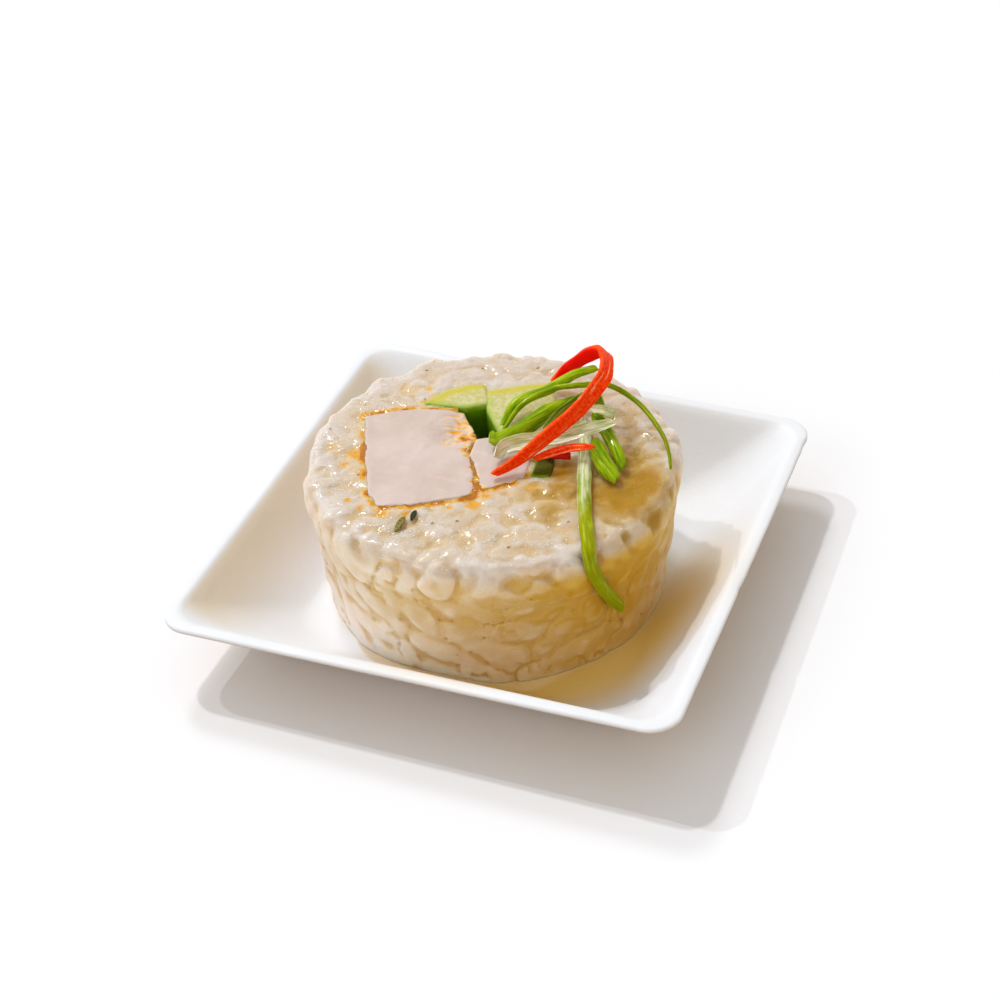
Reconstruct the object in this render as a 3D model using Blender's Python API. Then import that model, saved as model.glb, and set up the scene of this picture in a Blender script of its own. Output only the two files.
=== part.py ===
# Chicken rice served as a small moulded disc on a square moulded-pulp plate.
# A cut roll of sticky rice stands on end, with chicken and cucumber running through its middle,
# and curls of spring onion and chili lie on its top.
# Metres, +Z up. The origin is the middle of the plate's flat base, and X and Y run along its sides.

import math
import random
from collections import namedtuple

import bmesh
import bpy
from mathutils import Matrix, Vector
from mathutils.bvhtree import BVHTree
from mathutils.noise import noise

MM = 0.001

# Plate
PLATE_SIDE = 80 * MM
PLATE_HEIGHT = 12 * MM
PLATE_THICK = 0.9 * MM
PLATE_EDGE = 0.75 * MM
PLATE_RIM = 2.0 * MM
PLATE_CORNER = 4.8 * MM
FLOOR_HALF = 25.6 * MM
FLOOR_CORNER = 9.0 * MM
FLOOR_TOP = 1.0 * MM
WALL_POWER = 1.25
WALL_SHIFT = 0.5
RIM_EASE = 0.2 * MM
RIM_SHOULDER = 0.7 * MM
RIM_TWIST = 0.65 * MM
WALL_STEPS = 5
CORNER_STEPS = 5
SIDE_STEPS = 4

# Rice disc, out to the nominal faces that the grains reach
RICE_CENTRE = (-0.8 * MM, -0.7 * MM)
RICE_BASE_RADIUS = 26.5 * MM
RICE_TOP_RADIUS = 28.7 * MM
RICE_BOTTOM = FLOOR_TOP + 0.3 * MM
RICE_TOP = 24.2 * MM
CORE_INSET = 1.25 * MM
CORE_EASE = 1.0 * MM
CORE_SIDES = 36
GAP = 0.3 * MM

# One cooked grain, pressed against its neighbours
GRAIN_LENGTH = 8.8 * MM
GRAIN_WIDTH = 3.1 * MM
GRAIN_THICK = 2.7 * MM
GRAIN_SIDES = 5
GRAIN_BODY = 0.62
SIDE_ROWS = 8
SIDE_PITCH = 8.6 * MM
# How far a grain strays from its row: share of the pitch, height, depth out of the face, lean and size.
# The bottom and top rows lie flatter, and the top row stands further out.
SIDE_STRAY = 0.16
SIDE_RISE = 0.35 * MM
SIDE_PROUD = (-0.35 * MM, 0.2 * MM)
TOP_ROW_PROUD = 0.35 * MM
SIDE_LEAN = 38
EDGE_LEAN = 0.4
SIDE_SIZES = (0.86, 1.06)
# On the cut face: spacing, the margin to the rim, and the same strays. Near the rim grains lie along it.
TOP_SPACING = 4.0 * MM
TOP_TRIES = 6000
TOP_MARGIN = 2.6 * MM
TOP_RISE = (-0.3 * MM, 0.35 * MM)
TOP_TILT = 9
TOP_SIZES = (0.8, 1.05)
RIM_BAND = 3.5 * MM
RIM_HEADING = (50, 130)
CLEARANCE = 0.4 * MM
# Share of its size and depth below its place at which a grain near another piece is tried, in turn
GRAIN_FITS = ((1, 0), (0.9, 0.35 * MM), (0.78, 0.6 * MM), (0.66, 0.8 * MM))
SEED = 7

# Fillings: outlines of the cut faces in plan, in millimetres, and the height of each cut face
CHICKEN_TOP = 24.3 * MM
CUCUMBER_TOP = 24.5 * MM
CHICKEN_LARGE = [(-23.4, 2.6), (-15.9, 6.8), (-8.9, 8.2), (-4.9, 3.0), (-4.4, -1.7),
                 (-1.5, -6.7), (0.4, -11.6), (-5.7, -15.7), (-12.0, -18.6), (-14.6, -15.9), (-19.2, -6.6)]
CHICKEN_SMALL = [(-4.1, 1.9), (-1.5, 3.4), (2.6, 2.4), (5.3, -0.9), (6.0, -5.4), (1.2, -9.9), (-0.8, -6.3),
                 (-3.4, -2.2)]
CUCUMBER_LEFT = [(-15.4, 8.6), (-13.1, 12.8), (-10.5, 15.0), (-8.5, 15.8), (-6.3, 11.4), (-8.8, 9.7),
                 (-12.2, 9.2)]
CUCUMBER_RIGHT = [(-5.3, 10.4), (-7.0, 14.4), (-1.6, 17.7), (1.2, 19.1), (3.2, 16.0), (4.4, 10.2),
                  (1.6, 6.2), (-1.4, 5.2)]
CUCUMBER_FRONT = [(6.1, 0.9), (8.6, 1.6), (9.9, -4.0), (7.0, -4.7)]
HOLLOW = [(-8.4, 9.0), (-5.6, 9.8), (-2.0, 5.2), (-3.9, 3.0), (-5.2, 4.4)]
HOLLOW_DEPTH = 9.0 * MM
CUT_STEP = 2.6 * MM
CUT_EDGE = 0.35 * MM
CUT_CROWN = 0.12 * MM
CUT_WANDER = 0.28 * MM
CUT_PAST = 2 * MM
# Span of one wave of that unevenness, along X, Y and Z, and the sharpest mitre kept at full offset
WANDER_SPAN = (2.6 * MM, 2.6 * MM, 4 * MM)
MITRE_LIMIT = 0.5

# The large piece's torn, browned corner
CRAG_CENTRE = (-6.6, 5.0)
CRAG_REACH = 5.5
CRAG_DEPTH = 1.3 * MM
CRAG_EVEN = 0.5

# Garnish strips, in millimetres. Lean 0 lays the broad face up, lean 1 turns it to the right of the run.
# Trough is the dip of the cross section, and start and end are the widths left at the tips, as shares
# of the full width.
Strip = namedtuple("Strip", "width thick lean trough start end points")
SCALLION = {
    "scallion_arc": Strip(0.9, 0.6, 0.5, 0.1, 0.5, 0.4, [
        (-0.3, 3.6, 25.9), (1.0, 8.0, 27.6), (4.4, 11.4, 29.0), (9.2, 12.7, 30.0), (13.4, 13.8, 30.0),
        (18.5, 12.6, 28.4), (23.0, 9.2, 26.4), (25.2, 5.9, 25.5), (26.7, 2.2, 25.2)]),
    "scallion_upper": Strip(1.7, 0.55, 0.35, 0.2, 0.4, 0.5, [
        (-1.1, 4.9, 25.5), (-0.3, 10.2, 26.6), (3.4, 12.9, 27.9), (5.3, 14.2, 29.0), (7.3, 15.6, 30.0),
        (10.2, 17.0, 30.7)]),
    "scallion_leaf": Strip(2.6, 0.5, 0.5, 0.25, 0.35, 0.5, [
        (-1.5, 1.3, 26.3), (-0.6, 0.2, 25.9), (2.7, 4.2, 26.3), (5.8, 9.3, 27.0), (8.2, 12.6, 27.4)]),
    "scallion_curl": Strip(1.8, 0.55, 0.6, 0.2, 0.5, 0.6, [
        (6.2, 4.2, 26.7), (8.0, 8.6, 28.0), (10.2, 11.4, 28.7), (12.1, 11.9, 28.6), (13.2, 10.6, 27.4)]),
    "scallion_pale": Strip(2.8, 0.5, 0.45, 0.3, 0.6, 0.3, [
        (1.2, -3.2, 25.4), (1.4, -1.3, 26.0), (3.6, 0.4, 26.2), (6.6, 1.6, 26.5), (9.8, 2.8, 27.3),
        (13.2, 4.2, 28.3), (16.8, 5.8, 29.0)]),
    "scallion_frill": Strip(1.6, 0.5, 0.3, 0.2, 0.5, 1.0, [
        (12.2, 8.2, 28.9), (13.9, 8.4, 29.0), (16.0, 7.9, 28.9)]),
    "scallion_right": Strip(1.7, 0.55, 0.25, 0.25, 0.7, 0.4, [
        (12.3, 9.2, 27.6), (14.7, 6.9, 27.1), (17.4, 3.6, 26.5), (20.1, -0.2, 25.5)]),
    "scallion_short": Strip(2.7, 0.55, 0.3, 0.3, 0.6, 0.45, [
        (14.4, 2.9, 27.1), (15.6, 1.1, 26.8), (17.4, -0.9, 26.2), (20.0, -3.1, 25.4)]),
    "scallion_long": Strip(2.1, 0.55, 0.0, 0.3, 0.7, 0.5, [
        (10.6, 9.4, 25.8), (11.6, 7.0, 25.6), (13.3, 1.9, 25.4), (15.5, -4.8, 25.3), (17.5, -10.6, 25.3),
        (19.8, -16.2, 25.3), (21.5, -20.0, 24.4), (21.9, -19.4, 20.9), (22.7, -17.6, 16.6),
        (23.5, -15.7, 13.2), (24.2, -13.8, 10.4)]),
}
CHILI = {
    "chili_loop": Strip(1.9, 0.6, 0.85, 0.15, 0.35, 0.6, [
        (2.0, -7.2, 25.2), (4.9, -4.0, 26.4), (8.2, -0.3, 29.0), (11.3, 3.9, 31.3), (13.2, 9.8, 33.1),
        (13.0, 13.3, 33.7), (11.3, 17.2, 33.8), (8.8, 18.3, 32.3), (6.3, 18.7, 29.8), (4.2, 19.2, 27.5),
        (2.6, 17.9, 25.5)]),
    "chili_short": Strip(1.4, 0.5, 0.5, 0.1, 0.5, 0.15, [
        (6.9, -2.7, 26.0), (8.5, -1.4, 26.3), (10.3, -0.4, 26.8), (12.6, -0.1, 27.6), (15.1, -0.3, 28.4)]),
    "chili_stub": Strip(1.2, 0.5, 0.4, 0.1, 0.6, 1.0, [
        (7.6, -0.2, 25.3), (9.5, 0.1, 25.3), (11.5, 0.5, 25.3)]),
}
STRIP_STEP = 2.3 * MM
TAPER_REACH = 0.28
TIP_THICK = 0.55
OVER_EDGE = 25.2 * MM
OVER_EDGE_DROP = 2.5 * MM

# Base colour, roughness and metallic value of each finish
FINISH = {
    "plate": ((0.86, 0.85, 0.83), 0.62, 0.0),
    "rice": ((0.78, 0.70, 0.58), 0.42, 0.0),
    "chicken": ((0.84, 0.74, 0.68), 0.5, 0.0),
    "cucumber": ((0.42, 0.55, 0.16), 0.35, 0.0),
    "scallion": ((0.24, 0.45, 0.04), 0.35, 0.0),
    "chili": ((0.75, 0.05, 0.015), 0.28, 0.0),
}


def clear_scene():
    for obj in list(bpy.data.objects):
        bpy.data.objects.remove(obj, do_unlink=True)


def finish_material(name, finish):
    colour, roughness, metallic = FINISH[finish]
    material = bpy.data.materials.new(name)
    material.use_nodes = True
    shader = material.node_tree.nodes["Principled BSDF"]
    shader.inputs["Base Color"].default_value = (*colour, 1.0)
    shader.inputs["Roughness"].default_value = roughness
    shader.inputs["Metallic"].default_value = metallic
    return material


def face_out(bm):
    """Turns the faces of a closed, evenly wound mesh to point outwards."""
    if bm.calc_volume(signed=True) < 0:
        bmesh.ops.reverse_faces(bm, faces=bm.faces)


def add_object(name, finish, bm):
    face_out(bm)
    mesh = bpy.data.meshes.new(name)
    bm.to_mesh(mesh)
    bm.free()
    obj = bpy.data.objects.new(name, mesh)
    bpy.context.scene.collection.objects.link(obj)
    mesh.materials.append(finish_material(name, finish))
    return obj


def smooth(obj, angle):
    obj.data.shade_smooth()
    obj.data.set_sharp_from_angle(angle=math.radians(angle))


def ring_verts(bm, points):
    return [bm.verts.new(p) for p in points]


def skin(bm, rings):
    """Joins rings of equal count into a closed tube with both ends capped. Returns the last cap."""
    for low, high in zip(rings, rings[1:]):
        count = len(low)
        for i in range(count):
            j = (i + 1) % count
            bm.faces.new((low[i], low[j], high[j], high[i]))
    bm.faces.new(list(reversed(rings[0])))
    return bm.faces.new(rings[-1])


# Plate

def square_ring(half, corner, height, twisted):
    """A rounded square in plan. The rim's corners lift and drop by turns when it is twisted."""
    points = []
    reach = half - corner
    for quarter in range(4):
        turn = Matrix.Rotation(math.radians(90 * quarter), 3, "Z")
        for i in range(CORNER_STEPS + 1):
            angle = math.radians(90 * i / CORNER_STEPS)
            arc = Vector((math.cos(angle), math.sin(angle), 0)) * corner
            points.append(turn @ (Vector((reach, reach, 0)) + arc))
        for i in range(1, SIDE_STEPS):
            points.append(turn @ Vector((reach - 2 * reach * i / SIDE_STEPS, half, 0)))
    for p in points:
        lift = -RIM_TWIST * p.x * p.y / (PLATE_SIDE / 2) ** 2
        p.z = height + lift * twisted
    return points


def wall_ring(t, outwards, drop):
    """The ring at share t of the wall, from the floor at 0 to the rim at 1."""
    half = FLOOR_HALF + (PLATE_SIDE / 2 - PLATE_RIM - FLOOR_HALF) * t + outwards
    corner = FLOOR_CORNER + (PLATE_CORNER - FLOOR_CORNER) * t
    height = FLOOR_TOP + (PLATE_HEIGHT - FLOOR_TOP) * t ** WALL_POWER - drop
    return square_ring(half, corner, height, t)


def build_plate():
    half = PLATE_SIDE / 2
    shares = [i / WALL_STEPS for i in range(WALL_STEPS)]
    # The upper face: floor, wall and flat rim with eased edges
    rings = [wall_ring(t, 0, 0) for t in shares]
    rings.append(wall_ring(1, 0, RIM_EASE))
    rings.append(square_ring(half - PLATE_RIM + RIM_SHOULDER, PLATE_CORNER, PLATE_HEIGHT, 1))
    rings.append(square_ring(half - RIM_EASE, PLATE_CORNER, PLATE_HEIGHT, 1))
    rings.append(square_ring(half, PLATE_CORNER, PLATE_HEIGHT - RIM_EASE, 1))
    # The outer edge, then back down the underside to the flat base
    rings.append(square_ring(half, PLATE_CORNER, PLATE_HEIGHT - PLATE_EDGE, 1))
    rings.append(square_ring(half - PLATE_RIM + PLATE_THICK / 2, PLATE_CORNER, PLATE_HEIGHT - PLATE_THICK, 1))
    rings += [wall_ring(t, WALL_SHIFT * PLATE_THICK, PLATE_THICK) for t in shares[:0:-1]]
    rings.append(square_ring(FLOOR_HALF - RIM_EASE, FLOOR_CORNER, 0, 0))
    bm = bmesh.new()
    skin(bm, [ring_verts(bm, ring) for ring in rings])
    plate = add_object("plate", "plate", bm)
    smooth(plate, 50)
    return plate


# Fillings and the rice core

def wander(p, seed):
    span_x, span_y, span_z = WANDER_SPAN
    return noise(Vector((p.x / span_x, p.y / span_y, p.z / span_z + seed)))


def split_outline(corners, step, seed):
    """The outline's corners in metres, with points between them that wander off the straight line."""
    points = []
    for start, end in zip(corners, corners[1:] + corners[:1]):
        a = Vector((*start, 0)) * MM
        b = Vector((*end, 0)) * MM
        count = max(1, round((b - a).length / step))
        across = Vector((b.y - a.y, a.x - b.x, 0)).normalized()
        for i in range(count):
            p = a.lerp(b, i / count)
            points.append(p + across * CUT_WANDER * wander(p, seed))
    area = sum(p.x * q.y - q.x * p.y for p, q in zip(points, points[1:] + points[:1]))
    return points if area > 0 else points[::-1]


def inset(points, amount):
    """Moves each point of a counter-clockwise outline inwards by amount, or outwards if negative."""
    moved = []
    count = len(points)
    for i, p in enumerate(points):
        before = (p - points[i - 1]).normalized()
        after = (points[(i + 1) % count] - p).normalized()
        inward = Vector((-before.y - after.y, before.x + after.x, 0)).normalized()
        spread = max(MITRE_LIMIT, inward.dot(Vector((-before.y, before.x, 0))))
        moved.append(p + inward * amount / spread)
    return moved


def prism(name, finish, corners, top, seed, torn=False):
    """A filling cut square through the roll: soft edges, sides and cut face slightly uneven."""
    edge = CUT_EDGE
    outline = split_outline(corners, CUT_STEP, seed)
    middle = sum(outline, Vector()) / len(outline)
    bm = bmesh.new()
    rings = []
    levels = [(RICE_BOTTOM, edge), (RICE_BOTTOM + edge, 0.0), (0.5 * top, 0.0), (top - edge, 0.0),
              (top, edge), (top, 4 * edge)]
    for height, pull in levels:
        ring = [p + Vector((0, 0, height)) for p in inset(outline, pull)]
        if height == top:
            for p in ring:
                p.z += CUT_CROWN * wander(p * 0.6, seed + 3)
                if torn:
                    near = max(0, 1 - (p.xy / MM - Vector(CRAG_CENTRE)).length / CRAG_REACH)
                    p.z -= CRAG_DEPTH * near * (CRAG_EVEN + (1 - CRAG_EVEN) * abs(wander(p * 2.5, seed)))
        rings.append(ring_verts(bm, ring))
    poked = bmesh.ops.poke(bm, faces=[skin(bm, rings)])
    poked["verts"][0].co = Vector((middle.x, middle.y, top + CUT_CROWN))
    obj = add_object(name, finish, bm)
    smooth(obj, 40)
    return obj


def rice_radius(height):
    t = (height - RICE_BOTTOM) / (RICE_TOP - RICE_BOTTOM)
    return RICE_BASE_RADIUS + (RICE_TOP_RADIUS - RICE_BASE_RADIUS) * t


def on_disc(radius, angle, height):
    x = RICE_CENTRE[0] + radius * math.cos(angle)
    y = RICE_CENTRE[1] + radius * math.sin(angle)
    return Vector((x, y, height))


def build_core():
    """The disc under the outer grains: a tapered drum whose edges are eased."""
    bm = bmesh.new()
    base = RICE_BOTTOM
    top = RICE_TOP - CORE_INSET
    levels = [(base, CORE_EASE), (base + CORE_EASE, 0), (0.5 * (base + top), 0), (top - CORE_EASE, 0),
              (top, CORE_EASE)]
    rings = []
    for height, ease in levels:
        radius = rice_radius(height) - CORE_INSET - ease
        ring = [on_disc(radius, 2 * math.pi * i / CORE_SIDES, height) for i in range(CORE_SIDES)]
        rings.append(ring_verts(bm, ring))
    skin(bm, rings)
    return add_object("rice", "rice", bm)


def cutter(corners, low, high, grow, seed):
    outline = inset(split_outline(corners, CUT_STEP, seed), -grow)
    bm = bmesh.new()
    rings = [ring_verts(bm, [p + Vector((0, 0, z)) for p in outline]) for z in (low, high)]
    skin(bm, rings)
    return add_object("cutter", "rice", bm)


def apply_boolean(obj, operation, operand=None, collection=None):
    """Runs one Boolean on obj and keeps the result as its mesh."""
    modifier = obj.modifiers.new("join", "BOOLEAN")
    modifier.operation = operation
    if collection is None:
        modifier.object = operand
    else:
        modifier.operand_type = "COLLECTION"
        modifier.collection = collection
    bpy.context.view_layer.update()
    depsgraph = bpy.context.evaluated_depsgraph_get()
    result = bpy.data.meshes.new_from_object(obj.evaluated_get(depsgraph))
    obj.modifiers.remove(modifier)
    obj.data = result


def cut_openings(rice):
    """Cuts the way through for each filling, and the short hollow that is open between them."""
    low = RICE_BOTTOM - CUT_PAST
    high = RICE_TOP + CUT_PAST
    shapes = [(CHICKEN_LARGE, low, 1), (CHICKEN_SMALL, low, 2), (CUCUMBER_LEFT, low, 3),
              (CUCUMBER_RIGHT, low, 4), (CUCUMBER_FRONT, low, 5), (HOLLOW, RICE_TOP - HOLLOW_DEPTH, 6)]
    for corners, bottom, seed in shapes:
        tool = cutter(corners, bottom, high, GAP, seed)
        apply_boolean(rice, "DIFFERENCE", operand=tool)
        bpy.data.objects.remove(tool, do_unlink=True)


# Garnish strips

def spline(points, step):
    """A Catmull-Rom curve through the points, sampled at about one step."""
    padded = [points[0] * 2 - points[1]] + points + [points[-1] * 2 - points[-2]]
    samples = []
    for a, b, c, d in zip(padded, padded[1:], padded[2:], padded[3:]):
        count = max(1, round((c - b).length / step))
        for i in range(count):
            t = i / count
            samples.append(0.5 * (2 * b + (c - a) * t + (2 * a - 5 * b + 4 * c - d) * t * t
                                  + (3 * b - a - 3 * c + d) * t ** 3))
    samples.append(points[-1].copy())
    return samples


def strip_facing(at, run, lean):
    """The way that a strip's broad face looks. Past the disc's edge it looks straight outwards."""
    right = run.cross(Vector((0, 0, 1)))
    facing = Vector((0, 0, 1)) * (1 - lean) + right * lean
    outward = Vector((at.x - RICE_CENTRE[0], at.y - RICE_CENTRE[1], 0))
    over_edge = min(1, max(0, (OVER_EDGE - at.z) / OVER_EDGE_DROP))
    if outward.length > RICE_BASE_RADIUS:
        facing = facing * (1 - over_edge) + outward.normalized() * over_edge
    return (facing - run * facing.dot(run)).normalized()


def tip_share(t, strip):
    """The share of the full width at t, from 0 at the strip's start to 1 at its end."""
    from_start = strip.start + (1 - strip.start) * math.sqrt(t / TAPER_REACH)
    from_end = strip.end + (1 - strip.end) * math.sqrt((1 - t) / TAPER_REACH)
    return min(1, from_start, from_end)


def build_strip(name, finish, strip):
    """A thin curled ribbon: a shallow trough section carried along its spline, both faces split alike."""
    path = spline([Vector(p) * MM for p in strip.points], STRIP_STEP)
    count = len(path) - 1
    bm = bmesh.new()
    rings = []
    for i, at in enumerate(path):
        run = (path[min(i + 1, count)] - path[max(i - 1, 0)]).normalized()
        up = strip_facing(at, run, strip.lean)
        side = run.cross(up)
        share = tip_share(i / count, strip)
        half = 0.5 * strip.width * MM * share
        rise = strip.trough * half
        body = 0.5 * strip.thick * MM * (TIP_THICK + (1 - TIP_THICK) * share)
        section = [(-half, rise + body), (0, body - rise), (half, rise + body),
                   (half, rise - body), (0, -rise - body), (-half, rise - body)]
        rings.append(ring_verts(bm, [at + side * across + up * height for across, height in section]))
    skin(bm, rings)
    bmesh.ops.triangulate(bm, faces=bm.faces)
    obj = add_object(name, finish, bm)
    smooth(obj, 60)
    return obj


# Grains

def grain_mesh(bm, frame):
    """One grain along X: a flat-sided body between two blunt tips, with a flat side outwards (+Z)."""
    reach = GRAIN_LENGTH / 2
    rings = []
    for x in (-GRAIN_BODY * reach, GRAIN_BODY * reach):
        ring = []
        for i in range(GRAIN_SIDES):
            angle = 2 * math.pi * (i + 0.5) / GRAIN_SIDES + math.pi / 2
            offset = Vector((x, math.cos(angle) * GRAIN_WIDTH / 2, math.sin(angle) * GRAIN_THICK / 2))
            ring.append(bm.verts.new(frame @ offset))
        rings.append(ring)
    tips = [bm.verts.new(frame @ Vector((side * reach, 0, 0))) for side in (-1, 1)]
    for i in range(GRAIN_SIDES):
        j = (i + 1) % GRAIN_SIDES
        bm.faces.new((rings[0][i], rings[1][i], rings[0][j]))
        bm.faces.new((rings[0][j], rings[1][i], rings[1][j]))
        bm.faces.new((tips[0], rings[0][i], rings[0][j]))
        bm.faces.new((tips[1], rings[1][j], rings[1][i]))


def frame_from(at, along, out, size):
    along = (along - out * along.dot(out)).normalized()
    across = out.cross(along)
    turn = Matrix((along, across, out)).transposed().to_4x4()
    return Matrix.Translation(at) @ turn @ Matrix.Diagonal((size, size, size, 1))


def side_grains(draw):
    """Rows round the disc, leaning this way and that. The first and last rows lie flatter."""
    places = []
    low = RICE_BOTTOM + GRAIN_WIDTH / 2
    high = RICE_TOP - GRAIN_WIDTH / 2
    for row in range(SIDE_ROWS):
        edge_row = row in (0, SIDE_ROWS - 1)
        height = low + (high - low) * row / (SIDE_ROWS - 1)
        count = round(2 * math.pi * rice_radius(height) / SIDE_PITCH)
        for i in range(count):
            angle = 2 * math.pi * (i + 0.5 * (row % 2) + draw.uniform(-SIDE_STRAY, SIDE_STRAY)) / count
            rise = height + draw.uniform(-SIDE_RISE, SIDE_RISE)
            out = Vector((math.cos(angle), math.sin(angle), 0))
            round_way = Vector((-out.y, out.x, 0))
            lean = math.radians(draw.uniform(-SIDE_LEAN, SIDE_LEAN)) * (EDGE_LEAN if edge_row else 1)
            along = round_way * math.cos(lean) + Vector((0, 0, math.sin(lean)))
            proud = draw.uniform(*SIDE_PROUD)
            if row == SIDE_ROWS - 1:
                proud += draw.uniform(0, TOP_ROW_PROUD)
            size = draw.uniform(*SIDE_SIZES)
            at = on_disc(rice_radius(rise) - GRAIN_THICK / 2 + proud, angle, rise)
            places.append((size, at, along, out))
    return places


def top_grains(draw):
    """Grains over the cut face, no two centres nearer than the spacing."""
    places = []
    limit = RICE_TOP_RADIUS - TOP_MARGIN
    for _ in range(TOP_TRIES):
        radius = limit * math.sqrt(draw.random())
        angle = draw.uniform(0, 2 * math.pi)
        at = on_disc(radius, angle, RICE_TOP - GRAIN_THICK / 2)
        at.z += draw.uniform(*TOP_RISE)
        if any((at - place[1]).xy.length < TOP_SPACING for place in places):
            continue
        heading = draw.uniform(0, math.pi)
        if radius > limit - RIM_BAND:
            heading = angle + math.radians(draw.uniform(*RIM_HEADING))
        tilt = math.radians(draw.uniform(-TOP_TILT, TOP_TILT))
        along = Vector((math.cos(heading), math.sin(heading), math.sin(tilt)))
        places.append((draw.uniform(*TOP_SIZES), at, along, Vector((0, 0, 1))))
    return places


def grain_clear(frame, size, others):
    """True when the grain, grown by the clearance all round, meets no filling, strip or the plate."""
    grown = [1 + 2 * CLEARANCE / (size * span) for span in (GRAIN_LENGTH, GRAIN_WIDTH, GRAIN_THICK)]
    bm = bmesh.new()
    grain_mesh(bm, frame @ Matrix.Diagonal((*grown, 1)))
    tree = BVHTree.FromBMesh(bm)
    bm.free()
    return not any(tree.overlap(other) for other in others)


def add_grain(name, frame, collection):
    bm = bmesh.new()
    grain_mesh(bm, frame)
    face_out(bm)
    mesh = bpy.data.meshes.new(name)
    bm.to_mesh(mesh)
    bm.free()
    collection.objects.link(bpy.data.objects.new(name, mesh))


def place_grains(places, others):
    """Keeps each grain where it is free, and moves in or shortens the ones that aren't."""
    kept = bpy.data.collections.new("grains")
    bpy.context.scene.collection.children.link(kept)
    for number, (size, at, along, out) in enumerate(places):
        for shrink, sink in GRAIN_FITS:
            frame = frame_from(at - out * sink, along, out, size * shrink)
            if grain_clear(frame, size * shrink, others):
                add_grain(f"grain_{number}", frame, kept)
                break
    return kept


def drop_loose(obj):
    """Keeps the one outer shell: sealed hollows and scraps are separate shells, and go."""
    bm = bmesh.new()
    bm.from_mesh(obj.data)
    unseen = set(bm.verts)
    shells = []
    while unseen:
        stack = [unseen.pop()]
        shell = set(stack)
        while stack:
            for edge in stack.pop().link_edges:
                for vert in edge.verts:
                    if vert in unseen:
                        unseen.discard(vert)
                        shell.add(vert)
                        stack.append(vert)
        shells.append(shell)
    largest = max(shells, key=len)
    bmesh.ops.delete(bm, geom=[v for shell in shells if shell is not largest for v in shell], context="VERTS")
    bmesh.ops.triangulate(bm, faces=bm.faces)
    bm.to_mesh(obj.data)
    bm.free()


def cover_with_grains(rice, others):
    draw = random.Random(SEED)
    places = side_grains(draw) + top_grains(draw)
    places.sort(key=lambda place: -place[0])
    grains = place_grains(places, others)
    apply_boolean(rice, "UNION", collection=grains)
    for grain in list(grains.objects):
        bpy.data.objects.remove(grain, do_unlink=True)
    bpy.data.collections.remove(grains)
    drop_loose(rice)
    smooth(rice, 35)


def tree_of(obj):
    bm = bmesh.new()
    bm.from_mesh(obj.data)
    tree = BVHTree.FromBMesh(bm)
    bm.free()
    return tree


def main():
    clear_scene()
    plate = build_plate()
    rice = build_core()
    cut_openings(rice)
    toppings = [
        prism("chicken_large", "chicken", CHICKEN_LARGE, CHICKEN_TOP, 1, torn=True),
        prism("chicken_small", "chicken", CHICKEN_SMALL, CHICKEN_TOP, 2),
        prism("cucumber_left", "cucumber", CUCUMBER_LEFT, CUCUMBER_TOP, 3),
        prism("cucumber_right", "cucumber", CUCUMBER_RIGHT, CUCUMBER_TOP, 4),
        prism("cucumber_front", "cucumber", CUCUMBER_FRONT, CUCUMBER_TOP, 5),
    ]
    toppings += [build_strip(name, "scallion", spec) for name, spec in SCALLION.items()]
    toppings += [build_strip(name, "chili", spec) for name, spec in CHILI.items()]
    cover_with_grains(rice, [tree_of(obj) for obj in [plate] + toppings])


main()
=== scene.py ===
import math
import random

import bmesh
import bpy
import numpy as np
from mathutils import Matrix, Vector
from mathutils.bvhtree import BVHTree
from mathutils.kdtree import KDTree
from mathutils.noise import noise


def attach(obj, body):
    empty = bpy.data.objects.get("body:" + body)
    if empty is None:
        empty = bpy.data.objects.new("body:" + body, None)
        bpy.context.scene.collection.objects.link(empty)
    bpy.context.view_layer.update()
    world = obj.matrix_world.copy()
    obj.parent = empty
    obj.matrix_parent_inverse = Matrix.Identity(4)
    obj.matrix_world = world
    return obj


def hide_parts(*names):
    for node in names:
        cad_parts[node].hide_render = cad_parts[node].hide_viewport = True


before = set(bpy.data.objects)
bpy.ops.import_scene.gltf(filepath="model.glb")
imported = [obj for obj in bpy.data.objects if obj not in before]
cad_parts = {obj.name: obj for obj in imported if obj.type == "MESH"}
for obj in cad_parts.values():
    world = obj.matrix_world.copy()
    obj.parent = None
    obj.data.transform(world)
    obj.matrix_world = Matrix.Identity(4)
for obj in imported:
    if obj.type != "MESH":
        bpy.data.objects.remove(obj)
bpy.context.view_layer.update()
mm = 0.001
print("frame loaded with", len(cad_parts), "nodes")


# Camera, light and floor

viewPoint = {
    "place": (94.71, -229.69, 201.05),
    "right": (0.93453, 0.35368, -0.03953),
    "up": (-0.18290, 0.57261, 0.79917),
    "forward": (-0.30528, 0.73962, -0.59981),
    "lens": 72,
    "sensor": 36,
    "nearest": 10,
}

lighting = {
    # each light: heading and height in degrees of the way it travels, power, and spread, which softens it
    "suns": {
        "windowLight": (-33, -57, 0.84, 2.5),
        "lowLight": (-18, -48, 0.50, 1.0),
        "softLight": (-50, -46, 0.72, 11.0),
        "frontLight": (62, -28, 0.50, 40.0),
    },
    "sunColour": (0.97, 0.985, 1.0),
    "skyColour": (0.98, 0.985, 1.0),
    "skyPower": 0.63,
    "bounceFrom": (0.92, -0.35, 0.12),  # where a golden reflector warms the shaded side from
    "bounceSpread": (0.2, 0.95),
    "bounceColour": (1.0, 0.80, 0.52),
    "floorColour": (0.87, 0.88, 0.91),
    "floorFleck": (0.86, 0.86, 0.86),
    "floorReach": 3.0,  # in metres
}


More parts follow.
